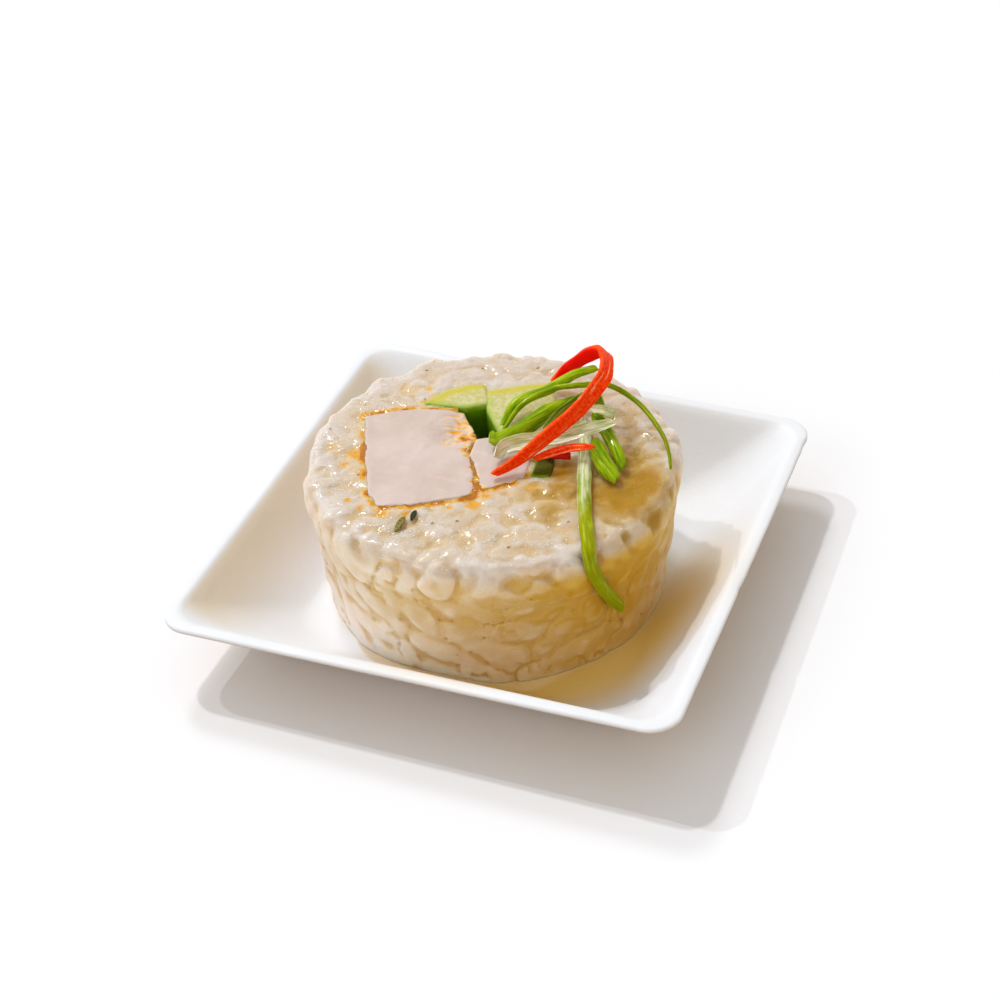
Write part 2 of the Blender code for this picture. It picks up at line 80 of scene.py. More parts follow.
def makeCamera():
    camera = bpy.data.objects.new("camera", bpy.data.cameras.new("camera"))
    camera.data.lens = viewPoint["lens"]
    camera.data.sensor_width = viewPoint["sensor"]
    camera.data.clip_start = viewPoint["nearest"] * mm
    right, up, forward = (Vector(viewPoint[key]) for key in ("right", "up", "forward"))
    turn = Matrix((right, up, -forward)).transposed().to_4x4()
    camera.matrix_world = Matrix.Translation(Vector(viewPoint["place"]) * mm) @ turn
    bpy.context.scene.collection.objects.link(camera)
    bpy.context.scene.camera = camera


def lightTravel(heading, height):
    turn, rise = math.radians(heading), math.radians(height)
    return Vector((math.cos(turn) * math.cos(rise), math.sin(turn) * math.cos(rise), math.sin(rise)))


def makeLights():
    for name, (heading, height, power, spread) in lighting["suns"].items():
        sun = bpy.data.objects.new(name, bpy.data.lights.new(name, "SUN"))
        sun.data.energy = power
        sun.data.angle = math.radians(spread)
        sun.data.color = lighting["sunColour"]
        sun.rotation_mode = "QUATERNION"
        sun.rotation_quaternion = lightTravel(heading, height).to_track_quat("-Z", "Y")
        bpy.context.scene.collection.objects.link(sun)
    world = bpy.data.worlds.new("studio")
    world.use_nodes = True
    paint = Paint(world, "Background", {"Strength": lighting["skyPower"]})
    direction = paint.node("ShaderNodeTexCoord", {}, {}, "Generated")
    toBounce = Vector(lighting["bounceFrom"]).normalized()
    share = paint.dot(direction, toBounce).rise(*lighting["bounceSpread"])
    paint.finish({"Color": paint.mix(share, lighting["skyColour"], lighting["bounceColour"])})
    bpy.context.scene.world = world


# Shader wiring: a Wire is one output, and sums on it add Math nodes

class Wire:
    def __init__(self, paint, socket):
        self.paint = paint
        self.socket = socket

    def math(self, operation, *values):
        return self.paint.node("ShaderNodeMath", {"operation": operation}, dict(enumerate(values)))

    def __add__(self, other):
        return self.math("ADD", self, other)

    def __radd__(self, other):
        return self.math("ADD", other, self)

    def __sub__(self, other):
        return self.math("SUBTRACT", self, other)

    def __rsub__(self, other):
        return self.math("SUBTRACT", other, self)

    def __mul__(self, other):
        return self.math("MULTIPLY", self, other)

    def __rmul__(self, other):
        return self.math("MULTIPLY", other, self)

    def __truediv__(self, other):
        return self.math("DIVIDE", self, other)

    def __pow__(self, other):
        return self.math("POWER", self, other)

    def size(self):
        return self.math("ABSOLUTE", self)

    def most(self, other):
        return self.math("MAXIMUM", self, other)

    def rise(self, start, end):
        # 0 up to start, 1 from end, and a smooth step between
        settings = {"interpolation_type": "SMOOTHSTEP"}
        inputs = {"Value": self, "From Min": start, "From Max": end}
        return self.paint.node("ShaderNodeMapRange", settings, inputs)


class Paint:
    def __init__(self, owner, shader, fixed):
        self.owner = owner
        self.owner.use_nodes = True
        self.tree = self.owner.node_tree
        self.shader = self.tree.nodes[shader]
        for socket, value in fixed.items():
            self.join(value, self.shader.inputs[socket])
        self.place = self.node("ShaderNodeTexCoord", {}, {}, "Object")

    def join(self, value, socket):
        if isinstance(value, Wire):
            self.tree.links.new(value.socket, socket)
        elif socket.type == "RGBA":
            socket.default_value = (*value[:3], 1)
        else:
            socket.default_value = value

    def node(self, kind, settings, inputs, output=0):
        made = self.tree.nodes.new(kind)
        for key, value in settings.items():
            setattr(made, key, value)
        for key, value in inputs.items():
            self.join(value, made.inputs[key])
        return Wire(self, made.outputs[output])

    def mix(self, share, first, second, way="MIX"):
        settings = {"data_type": "RGBA", "blend_type": way}
        return self.node("ShaderNodeMix", settings, {0: share, 6: first, 7: second}, 2)

    def coats(self, base, *coats):
        # one tone over another on the base: each coat is a share, a tone and, where given, a way of mixing
        for share, tone, *way in coats:
            base = self.mix(share, base, tone, *way)
        return base

    def layer(self, name, output="Fac"):
        return self.node("ShaderNodeAttribute", {"attribute_name": name}, {}, output)

    def vector(self, operation, first, second, output=0):
        return self.node("ShaderNodeVectorMath", {"operation": operation}, {0: first, 1: second}, output)

    def stretch(self, vector, scale):
        return self.vector("MULTIPLY", vector, scale)

    def dot(self, first, second):
        return self.vector("DOT_PRODUCT", first, second, "Value")

    def along(self, axis, vector=None):
        return self.node("ShaderNodeSeparateXYZ", {}, {0: vector or self.place}, axis)

    def cloud(self, span, detail=2.0, rough=0.5, at=None):
        # noise whose blobs are about span millimetres wide
        inputs = {"Vector": at or self.place, "Scale": 1 / (span * mm)}
        return self.node("ShaderNodeTexNoise", {}, {**inputs, "Detail": detail, "Roughness": rough})

    def cells(self, span, at=None, output="Distance"):
        inputs = {"Vector": at or self.place, "Scale": 1 / (span * mm)}
        return self.node("ShaderNodeTexVoronoi", {}, inputs, output)

    def shards(self, span, wobble):
        # a random value from 0 to 1 for each of many uneven patches, about span millimetres wide
        inputs = {"Vector": self.place, "Scale": 0.7 / (span * mm)}
        stray = self.node("ShaderNodeTexNoise", {}, inputs, "Color")
        shift = self.node("ShaderNodeVectorMath", {"operation": "SCALE"}, {0: stray, "Scale": wobble * mm})
        return self.along("X", self.cells(span, self.vector("ADD", self.place, shift), "Color"))

    def bump(self, height, depth):
        # height from 0 to 1 stands for depth millimetres
        return self.node("ShaderNodeBump", {}, {"Height": height, "Strength": 1.0, "Distance": depth * mm})

    def finish(self, outputs):
        for socket, value in outputs.items():
            self.join(value, self.shader.inputs[socket])
        return self.owner


def surface(name, fixed):
    return Paint(bpy.data.materials.new(name), "Principled BSDF", fixed)


# Mesh helpers

def addObject(name, mesh, material):
    obj = bpy.data.objects.new(name, mesh)
    bpy.context.scene.collection.objects.link(obj)
    mesh.materials.clear()
    mesh.materials.append(material)
    return obj


def makeMesh(name, points, faces):
    mesh = bpy.data.meshes.new(name)
    mesh.from_pydata([tuple(p) for p in points], [], faces)
    mesh.update()
    return mesh


def readPoints(mesh):
    points = np.zeros(len(mesh.vertices) * 3, np.float32)
    mesh.vertices.foreach_get("co", points)
    return points.reshape(-1, 3).astype(float)


def readNormals(mesh):
    normals = np.zeros(len(mesh.vertices) * 3, np.float32)
    mesh.vertices.foreach_get("normal", normals)
    return normals.reshape(-1, 3).astype(float)


def writePoints(mesh, points):
    mesh.vertices.foreach_set("co", points.astype(np.float32).ravel())
    mesh.update()


def addLayer(mesh, name, values):
    kind = "FLOAT" if values.ndim == 1 else "FLOAT_VECTOR"
    layer = mesh.attributes.new(name, kind, "POINT")
    layer.data.foreach_set("value" if values.ndim == 1 else "vector", values.astype(np.float32).ravel())


def readEdges(mesh):
    edges = np.zeros(len(mesh.edges) * 2, np.int32)
    mesh.edges.foreach_get("vertices", edges)
    return edges.reshape(-1, 2)


def copyOf(node, name):
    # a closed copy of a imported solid, whose loaded mesh has each corner more than once
    bm = bmesh.new()
    bm.from_mesh(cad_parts[node].data)
    bmesh.ops.remove_doubles(bm, verts=bm.verts, dist=0.001 * mm)
    mesh = bpy.data.meshes.new(name)
    bm.to_mesh(mesh)
    bm.free()
    mesh.materials.clear()
    return mesh


def applyModifiers(obj):
    bpy.context.view_layer.update()
    depsgraph = bpy.context.evaluated_depsgraph_get()
    made = bpy.data.meshes.new_from_object(obj.evaluated_get(depsgraph))
    obj.modifiers.clear()
    obj.data = made


def fuse(obj, voxel, rounds):
    # joins everything in obj into one skin, then softens its creases
    remesh = obj.modifiers.new("fuse", "REMESH")
    remesh.mode = "VOXEL"
    remesh.voxel_size = voxel * mm
    remesh.use_smooth_shade = True
    soften = obj.modifiers.new("soften", "SMOOTH")
    soften.factor = 0.5
    soften.iterations = rounds
    applyModifiers(obj)


def keepOutside(mesh):
    # drops the skins of air pockets, which lie apart from the largest skin
    count = len(mesh.vertices)
    edges = readEdges(mesh)
    label = np.arange(count)
    while True:
        lower = np.minimum(label[edges[:, 0]], label[edges[:, 1]])
        spread = label.copy()
        np.minimum.at(spread, edges[:, 0], lower)
        np.minimum.at(spread, edges[:, 1], lower)
        spread = spread[spread]
        if np.array_equal(spread, label):
            break
        label = spread
    names, sizes = np.unique(label, return_counts=True)
    if len(names) == 1:
        return mesh
    keep = label == names[np.argmax(sizes)]
    newPlace = np.cumsum(keep) - 1
    faces = [[int(newPlace[v]) for v in f.vertices] for f in mesh.polygons if keep[f.vertices[0]]]
    return makeMesh(mesh.name, readPoints(mesh)[keep], faces)


def waves(points, span, seed):
    # smooth noise from -1 to 1 at each point, with blobs about span millimetres wide
    scaled = points / (span * mm) + seed * 7.3  # each seed reads another part of the noise
    return np.array([noise(Vector(p)) for p in scaled])


def roughen(mesh, depths, seed, above=-1.0):
    # moves each point along its normal, by depth millimetres for each span of noise
    points = readPoints(mesh)
    shift = np.zeros(len(points))
    for number, (span, depth) in enumerate(depths):
        shift += waves(points, span, seed + number) * depth * mm
    shift *= np.clip(points[:, 2] / mm - above, 0, 1)
    writePoints(mesh, points + readNormals(mesh) * shift[:, None])


def evened(mesh, values, rounds, weights=1.0, pull=0.7):
    # values at the mesh's points, each drawn towards the mean of its neighbours a few times over
    ends = readEdges(mesh)
    start = np.concatenate((ends[:, 0], ends[:, 1]))
    other = np.concatenate((ends[:, 1], ends[:, 0]))
    count = np.maximum(np.bincount(start, minlength=len(values)), 1)
    columns = values.reshape(len(values), -1).copy()
    for _ in range(rounds):
        for axis in range(columns.shape[1]):
            mean = np.bincount(start, columns[other, axis], len(values)) / count
            columns[:, axis] += (mean - columns[:, axis]) * pull * weights
    return columns.reshape(values.shape)


def wallDistance(points, nodes, height=12, reach=8):
    # how far each point is in plan from these nodes' walls, taken at one height, in millimetres
    trees = []
    for name in nodes:
        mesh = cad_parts[name].data
        faces = [tuple(f.vertices) for f in mesh.polygons]
        trees.append(BVHTree.FromPolygons([v.co for v in mesh.vertices], faces))
    far = np.full(len(points), 99.0)
    for number, (x, y, _) in enumerate(points):
        probe = Vector((x, y, height * mm))
        for tree in trees:
            found = tree.find_nearest(probe, reach * mm)
            if found[0] is not None:
                far[number] = min(far[number], found[3] / mm)
    return far


def setIn(obj, slot, *nodes):
    # hands the finished piece to the frame, in place of these nodes where it has any
    if nodes:
        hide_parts(*nodes)
    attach(obj, "root")


# Plate

plateShape = {
    "side": 80, "height": 12, "thick": 0.9, "edge": 0.75, "rim": 2.0, "corner": 4.8,
    "floorHalf": 25.6, "floorCorner": 9.0, "floorTop": 1.0, "wallPower": 1.25, "wallShift": 0.5,
    "ease": 0.2, "shoulder": 0.7, "twist": 0.65,
    "wallSteps": 16, "cornerSteps": 12, "sideSteps": 36, "floorRings": (0.94, 0.8, 0.55, 0.25),
    "lipRound": (0.3, 0.05), "edgeRound": (0.1, 0.12), "edgeEase": 0.45,
    "waviness": ((14, 0.05), (5, 0.02)),
    # small dents in the rim's outer edge
    "nicks": 26, "nickPlaces": (-34, 34), "nickDepths": (0.08, 0.28), "nickReaches": (0.6, 1.5),
    "nickAbove": 10.6,
    "seed": 21,
}
plateTones = {
    # painted light and shade: the under tone darkens the rim's outer edge and the underside, the amber and
    # foot tones paint the rice's warm light onto the plate, and the tan tone is painted shade on the left
    # wall
    "cool": (0.77, 0.792, 0.83), "white": (0.81, 0.828, 0.865), "fleck": (0.70, 0.64, 0.56),
    "under": (0.52, 0.38, 0.26), "paintedWarmShade": (0.73, 0.49, 0.10), "foot": (0.86, 0.66, 0.34),
    "paintedShadeTan": (0.76, 0.65, 0.49),
    # which way the rice's shade falls and which way the plate's front lies from the rice
    "shadeWay": (0.77, -0.64, 0), "frontWay": (0.1, -0.995, 0),
}


def squareRing(half, corner, height, twisted):
    shape = plateShape
    reach = half - corner
    quarter = []
    for i in range(shape["cornerSteps"] + 1):
        angle = math.radians(90 * i / shape["cornerSteps"])
        quarter.append((reach + corner * math.cos(angle), reach + corner * math.sin(angle)))
    for i in range(1, shape["sideSteps"]):
        quarter.append((reach - 2 * reach * i / shape["sideSteps"], half))
    ring = []
    for turns in range(4):
        for x, y in quarter:
            for _ in range(turns):
                x, y = -y, x
            lift = -shape["twist"] * x * y / (shape["side"] / 2) ** 2
            ring.append((x, y, height + lift * twisted))
    return np.array(ring)


def plateRings():
    # from the middle of the floor up the inside, over the rim and back down the outside
    s = plateShape
    half = s["side"] / 2

    def wall(t, outwards, drop):
        wide = s["floorHalf"] + (half - s["rim"] - s["floorHalf"]) * t + outwards
        corner = s["floorCorner"] + (s["corner"] - s["floorCorner"]) * t
        high = s["floorTop"] + (s["height"] - s["floorTop"]) * t ** s["wallPower"] - drop
        return squareRing(wide, corner, high, t)

    shares = [i / s["wallSteps"] for i in range(s["wallSteps"])]
    floor = [(s["floorHalf"] * share, s["floorCorner"] * share) for share in reversed(s["floorRings"])]
    rings = [squareRing(wide, corner, s["floorTop"], 0) for wide, corner in floor]
    rings += [wall(t, 0, 0) for t in shares]
    top = s["height"]
    rims = [
        (half - s["rim"], top - s["ease"]),
        (half - s["rim"] + s["lipRound"][0], top - s["lipRound"][1]),
        (half - s["rim"] + s["shoulder"], top),
        (half - s["edgeEase"], top),
        (half - 0.5 * s["ease"], top - 0.3 * s["ease"]),
        (half, top - s["ease"]),
        (half, top - s["edge"] + s["edgeRound"][1]),
        (half - s["edgeRound"][0], top - s["edge"]),
        (half - s["rim"] + s["thick"] / 2, top - s["thick"]),
    ]
    rings += [squareRing(wide, s["corner"], high, 1) for wide, high in rims]
    rings += [wall(t, s["wallShift"] * s["thick"], s["thick"]) for t in shares[:0:-1]]
    rings.append(squareRing(s["floorHalf"] - s["ease"], s["floorCorner"], 0, 0))
    rings += [squareRing(wide, corner, 0, 0) for wide, corner in reversed(floor)]
    return rings


def plateMaterial():
    paint = surface("pulpPlate", {"Specular IOR Level": 0.45, "Coat Roughness": 0.25})
    tones = plateTones
    fibre = paint.cloud(0.9, 4, 0.65)
    fleck = paint.cloud(0.28, 3, 0.6)
    drift = paint.cloud(16, 2)
    under = paint.layer("under")
    above = 1 - under
    # how far each place is from the disc's middle, and how much it lies on the shaded side and in front
    x, y = riceShape["centre"]
    fromDisc = paint.vector("SUBTRACT", paint.stretch(paint.place, (1, 1, 0)), (x * mm, y * mm, 0))
    far = paint.node("ShaderNodeVectorMath", {"operation": "LENGTH"}, {0: fromDisc}, "Value")
    shaded = paint.dot(fromDisc, tones["shadeWay"]) / far
    front = paint.dot(fromDisc, tones["frontWay"]) / far
    # painted light: the plate is painted with the warm tone of the light that comes through the rice, most on
    # its shaded side
    paintedWarmShade = (1 - far.rise(0.029, 0.0425)) * shaded.rise(0.25, 0.92) * above
    # painted light: a warm glow painted on the plate round the rice's foot, reaching further in front
    foot = (1 - (far - front.rise(0.75, 0.98) * 0.003).rise(0.0258, 0.0274)) * above
    # painted shade: the left wall, which the window's light leaves in shade, is painted tan, fading towards
    # the corners
    leftward = paint.along("X") * -1000
    sideways = paint.along("Y").size() * 1000
    paintedLeftWallShade = leftward.rise(27, 36.5) * (1 - leftward.rise(37.4, 38.2)) * (1 - sideways.rise(32, 37)) * above
    colour = paint.coats(
        paint.mix(drift.rise(0.35, 0.7), tones["cool"], tones["white"]),
        (fleck.rise(0.66, 0.78) * 0.35, tones["fleck"]),
        # painted shade: the rim's outer edge and the underside are darker tan
        (under, tones["under"]),
        (paintedWarmShade * 0.95, tones["paintedWarmShade"]),
        (foot * 0.65, tones["foot"]),
        (paintedLeftWallShade * 0.75, tones["paintedShadeTan"]),
    )
    return paint.finish({
        "Base Color": colour,
        "Roughness": 0.44 + fibre * 0.22,
        "Coat Weight": drift.rise(0.45, 0.75) * 0.25,
        "Normal": paint.bump(fibre * 0.6 + fleck * 0.4, 0.06),
    })


def makePlate():
    s = plateShape
    rings = plateRings()
    count = len(rings[0])
    points = np.concatenate(rings) * mm
    faces = [list(range(count))]
    for low in range(len(rings) - 1):
        for i in range(count):
            j = (i + 1) % count
            a, b = low * count, (low + 1) * count
            faces.append([a + i, a + j, b + j, b + i][::-1])
    faces.append(list(range((len(rings) - 1) * count, len(rings) * count))[::-1])
    lift = sum(waves(points * (1, 1, 0), span, 3) * depth for span, depth in s["waviness"])
    raised = np.clip((points[:, 2] / mm - s["floorTop"]) / (s["height"] - s["floorTop"]), 0, 1)
    points[:, 2] += lift * raised * mm
    draw = random.Random(s["seed"])
    for _ in range(s["nicks"]):
        side, along, deep = draw.randrange(4), draw.uniform(*s["nickPlaces"]), draw.uniform(*s["nickDepths"])
        spot = [(along, 40), (40, along), (along, -40), (-40, along)][side]
        away = np.hypot(points[:, 0] / mm - spot[0], points[:, 1] / mm - spot[1])
        dent = np.clip(1 - away / draw.uniform(*s["nickReaches"]), 0, 1) ** 2 * deep * mm
        points[:, 2] -= dent * (points[:, 2] > s["nickAbove"] * mm)
        inward = np.array([-spot[0], -spot[1]]) / 40 * (np.abs(spot) == 40)
        points[:, :2] += inward * dent[:, None]
    mesh = makeMesh("pulpPlate", points, faces)
    outside = np.zeros(len(points))
    first = (len(s["floorRings"]) + s["wallSteps"] + 6) * count  # where the rim's outer edge ends
    outside[first:] = 1.0
    addLayer(mesh, "under", outside)
    plate = addObject("pulpPlate", mesh, plateMaterial())
    mesh.shade_smooth()
    mesh.set_sharp_from_angle(angle=math.radians(60))
    setIn(plate, "plate", "plate")
    print("plate made,", len(mesh.polygons), "faces")


# Rice

riceShape = {
    "centre": (-0.8, -0.7), "baseRadius": 26.5, "topRadius": 28.7, "wallFoot": 1.3,
    "bottom": 1.05, "top": 24.2,
    "core": (  # height, and how far in from the wall
        (1.05, -0.2), (2.6, 0.0), (4.2, 0.45), (20.4, 0.45), (22.9, 0.55), (23.7, 0.85), (24.05, 1.5),
    ),
    "coreSides": 72, "voxel": 0.335, "soften": 1,
    # lumps in the finished skin, as span and depth
    "relief": ((5.0, 0.2), (1.5, 0.06)), "topRelief": ((1.3, 0.08), (0.55, 0.06)),
    "rimRelief": ((3.4, 0.34), (1.6, 0.14)), "rimReliefAbove": 19, "topReliefAbove": 21,
    # what stands past the mould's wall and the cut face is pressed back
    "wallPress": 0.15, "rimPush": 0.75, "rimFrom": 17, "rimOver": 3, "topPress": 0.1,
    "sideSoften": 4, "topSoften": 1, "oliveSoften": 9, "softenFrom": 1.6, "softenOver": 1.5,
    "creaseWidth": 0.9, "sideCrease": 0.02, "topCrease": 0.04, "creaseFrom": 2.4, "creaseOver": 1.5,
    "pitWidth": 0.7, "pitDepth": 0.5, "pitted": 0.24, "footBand": 0.3,
    "footSkin": 0.05, "footSink": 0.6, "footHeight": 2.0,
    # how far a filling's cutter stays inside its wall, and how far it runs past the rice's top and foot
    "grip": 0.5, "cutAbove": 20, "cutOver": 6, "cutBelow": 2, "cutUnder": 4, "steep": 0.2,
    # how deep light from above reaches, and how far the lumps of the rim carry it on
    "lightDepth": 3.6, "rimLight": 1.35, "lightByGrain": 0.15, "glowSoften": 3, "tintSoften": 3,
    "proudSpan": 34, "proudLevel": 0.04, "proudDepth": 0.13, "proudMost": 0.4, "proudSoften": 2,
    # the rice closes up to the chicken
    "seamWidth": 0.9, "seamOver": 1.3, "seamHeight": 24.2, "seamNoise": 0.16, "seamSpan": 0.9,
    "seamFrom": (22.5, 24.0), "seamAbove": 23.2,
    "shadeWay": (0.86, -0.51), "shadeAbove": 21, "shadeSoften": 3,
    # how things change round the disc, at these headings in degrees
    "headings": (-180, -150, -115, -75, -30, 20, 90, 150, 180),
    "leans": (-60, -56, -50, -18, 26, 38, -20, 20, -60),
    "widths": (0.75, 0.72, 0.8, 1.1, 1.15, 1.0, 0.85, 0.8, 0.75),
    "presses": (0.6, 0.6, 0.5, 0.35, 0.35, 0.5, 0.25, 0.4, 0.6),
    "seed": 11,
}
# the grains of each part of the disc: length, width and thickness, how far apart, their sizes, how far they
# stand out, and how much they stray in degrees or in share
sideGrains = {
    "grain": (8.0, 4.6, 3.2), "spacing": 3.6, "sizes": (0.75, 1.15), "out": (-0.1, 0.85), "stray": 30,
    "tries": 6000, "margins": (1.4, 3.4), "dive": 0.07, "tilt": 0.10,
}
topGrains = {
    "grain": (7.4, 3.1, 2.5), "spacing": 2.6, "sizes": (0.7, 1.1), "out": (0.0, 0.4),
    "tries": 5000, "margin": 3.0, "tilt": 0.10,
}
rimGrains = {
    "grain": (8.6, 5.4, 3.6), "spacing": 4.9, "sizes": (0.75, 1.15), "lengths": (0.75, 1.1),
    "out": (-0.8, 0.6), "inset": 1.1, "stray": 55, "slide": 0.3, "above": 0.8, "rise": 0.3,
    "hang": 0.12, "tilt": 0.15,
}
footGrains = {
    "grain": (7.5, 3.6, 2.9), "spacing": 5.2, "sizes": (0.85, 1.1), "out": (-0.4, 0.4),
    "inset": 1.35, "stray": 12, "slide": 0.25, "lift": (1.1, 1.5),
}
grainForm = {"sides": 12, "steps": 10, "blunt": 2.8, "square": 0.75}
# the open hollow, drawn out past its walls to swallow the slivers of rice between it and the pieces round it
hollow = (
    (-10.4, 9.6), (-8.0, 11.4), (-5.8, 12.2), (-3.0, 8.6), (-0.8, 5.6),
    (-3.3, 1.6), (-3.4, -2.6), (-4.3, -2.6), (-4.7, 1.2), (-7.8, 3.4),
)
hollowForm = {"depth": 9.0, "level": 1.2, "levels": 9, "top": 30, "sideParts": 6}


def riceRadius(z):
    s = riceShape
    foot, top = s["wallFoot"], s["top"]
    return s["baseRadius"] + (s["topRadius"] - s["baseRadius"]) * (z - foot) / (top - foot)


def discPoint(radius, angle, z):
    x, y = riceShape["centre"]
    return Vector((x + radius * math.cos(angle), y + radius * math.sin(angle), z))


def roundDisc(angle, key):
    # a value of the rice at this heading
    return float(np.interp(math.degrees(angle), riceShape["headings"], riceShape[key]))


def discWays(angle):
    # straight out of the disc, and round it
    out = Vector((math.cos(angle), math.sin(angle), 0))
    return out, Vector((-out.y, out.x, 0))


def ringHeadings(draw, radius, g):
    # uneven headings round the disc, one for each grain
    count = round(2 * math.pi * radius / g["spacing"])
    for i in range(count):
        yield 2 * math.pi * (i + draw.uniform(-g["slide"], g["slide"])) / count


def scatterSide(draw):
    s, g = riceShape, sideGrains
    grains = []
    centres = []
    for _ in range(g["tries"]):
        angle = draw.uniform(-math.pi, math.pi)
        z = draw.uniform(s["bottom"] + g["margins"][0], s["top"] - g["margins"][1])
        at = discPoint(riceRadius(z) - g["grain"][2] / 2, angle, z)
        wide = roundDisc(angle, "widths")
        if any((at - other).length < g["spacing"] * wide for other in centres):
            continue
        centres.append(at.copy())
        out, roundWay = discWays(angle)
        lean = math.radians(roundDisc(angle, "leans") + draw.gauss(0, g["stray"]))
        along = roundWay * math.cos(lean) + Vector((0, 0, math.sin(lean))) + out * draw.gauss(0, g["dive"])
        at += out * draw.uniform(*g["out"])
        facing = out + roundWay * draw.gauss(0, g["tilt"]) + Vector((0, 0, draw.gauss(0, g["tilt"])))
        span = Vector(g["grain"]) * draw.uniform(*g["sizes"])
        span.y *= wide
        grains.append((at, along.normalized(), facing, span))
    return grains


def scatterFoot(draw):
    # grains lying flat round the foot, squashed against the plate
    s, g = riceShape, footGrains
    grains = []
    for angle in ringHeadings(draw, s["baseRadius"], g):
        out, roundWay = discWays(angle)
        lean = math.radians(draw.gauss(0, g["stray"]))
        along = roundWay * math.cos(lean) + Vector((0, 0, math.sin(lean)))
        radius = s["baseRadius"] - g["inset"] + draw.uniform(*g["out"])
        at = discPoint(radius, angle, s["bottom"] + draw.uniform(*g["lift"]))
        grains.append((at, along, out, Vector(g["grain"]) * draw.uniform(*g["sizes"])))
    return grains


def scatterTop(draw):
    s, g = riceShape, topGrains
    grains = []
    centres = []
    for _ in range(g["tries"]):
        angle = draw.uniform(-math.pi, math.pi)
        size = draw.uniform(*g["sizes"])
        radius = (s["topRadius"] - g["margin"]) * math.sqrt(draw.random())
        at = discPoint(radius, angle, s["top"] - g["grain"][2] * size / 2)
        if any(math.hypot(at.x - x, at.y - y) < g["spacing"] for x, y in centres):
            continue
        centres.append((at.x, at.y))
        at.z += draw.uniform(*g["out"])
        heading = draw.uniform(0, math.pi)
        along = Vector((math.cos(heading), math.sin(heading), draw.gauss(0, g["tilt"]))).normalized()
        facing = Vector((draw.gauss(0, g["tilt"]), draw.gauss(0, g["tilt"]), 1))
        grains.append((at, along, facing, Vector(g["grain"]) * size))
    return grains


def scatterRim(draw):
    # the lumps of the top edge, cut off by the knife above and hanging past the disc's side
    s, g = riceShape, rimGrains
    grains = []
    for angle in ringHeadings(draw, s["topRadius"], g):
        out, roundWay = discWays(angle)
        turn = math.radians(90 + draw.uniform(-g["stray"], g["stray"]))
        along = roundWay * math.cos(turn) + (Vector((0, 0, 1)) - out * g["hang"]) * math.sin(turn)
        span = Vector(g["grain"]) * draw.uniform(*g["sizes"])
        span.x *= draw.uniform(*g["lengths"])
        reach = 0.5 * (span.x * abs(math.sin(turn)) + span.y * abs(math.cos(turn)))
        z = s["top"] + g["above"] - reach + draw.uniform(-g["rise"], g["rise"])
        at = discPoint(riceRadius(z) - g["inset"] + draw.uniform(*g["out"]), angle, z)
        grains.append((at, along.normalized(), (out + Vector((0, 0, g["tilt"]))).normalized(), span))
    return grains


def lightReach(grains, rim):
    # the lumps of the rim are lit further down than the grains below them
    reaches = np.full(len(grains), riceShape["lightDepth"])
    reaches[rim[0]:rim[1]] *= riceShape["rimLight"]
    return reaches


def squared(value, power):
    # a sine or cosine drawn towards 1 or -1, which squares off a circle
    return math.copysign(abs(value) ** power, value)


def grainRings():
    # a blunt-ended grain along X with flattened sides, as unit rings
    g = grainForm
    sides, steps = g["sides"], g["steps"]
    points = [(-1, 0, 0)]
    for i in range(1, steps):
        x = -math.cos(math.pi * i / steps)
        girth = (1 - abs(x) ** g["blunt"]) ** 0.5
        for k in range(sides):
            angle = 2 * math.pi * k / sides
            y, z = squared(math.cos(angle), g["square"]), squared(math.sin(angle), g["square"])
            points.append((x, girth * y, girth * z))
    points.append((1, 0, 0))
    faces = []
    for k in range(sides):
        n = (k + 1) % sides
        faces.append((0, 1 + n, 1 + k))
        for i in range(steps - 2):
            a, b = 1 + i * sides, 1 + (i + 1) * sides
            faces.append((a + k, a + n, b + n, b + k))
        last = 1 + (steps - 2) * sides
        faces.append((len(points) - 1, last + k, last + n))
    return np.array(points), faces


def riceMass(grains):
    # the core and every grain in one mesh, ready to be fused
    s = riceShape
    unit, unitFaces = grainRings()
    points = []
    faces = []
    start = 0
    for at, along, facing, span in grains:
        facing = (facing - along * facing.dot(along)).normalized()
        axes = np.array([along, facing.cross(along), facing])
        points.append((unit * np.array(span) / 2) @ axes + np.array(at))
        faces += [[start + v for v in face] for face in unitFaces]
        start += len(unit)
    sides = s["coreSides"]
    for z, inset in s["core"]:
        radius = riceRadius(z) - inset
        points.append(np.array([discPoint(radius, 2 * math.pi * i / sides, z) for i in range(sides)]))
    faces.append([start + i for i in range(sides)][::-1])
    for low in range(len(s["core"]) - 1):
        a, b = start + low * sides, start + (low + 1) * sides
        for i in range(sides):
            j = (i + 1) % sides
            faces.append([a + i, a + j, b + j, b + i])
    faces.append([b + i for i in range(sides)])
    return makeMesh("riceDisc", np.concatenate(points) * mm, faces)


def softenRice(mesh):
    # the side is pressed smooth and the place of the painted olive shade under the garnish is smoother still
    s = riceShape
    points = readPoints(mesh)
    side = np.clip((s["top"] - s["softenFrom"] - points[:, 2] / mm) / s["softenOver"], 0, 1)
    points = evened(mesh, points, s["sideSoften"], side)
    points = evened(mesh, points, s["topSoften"], 1 - side)
    wet = np.clip(spotLayer(points / mm, seepage["paintedOliveShade"]), 0, 1) ** 2 * (1 - side)
    writePoints(mesh, evened(mesh, points, s["oliveSoften"], wet))


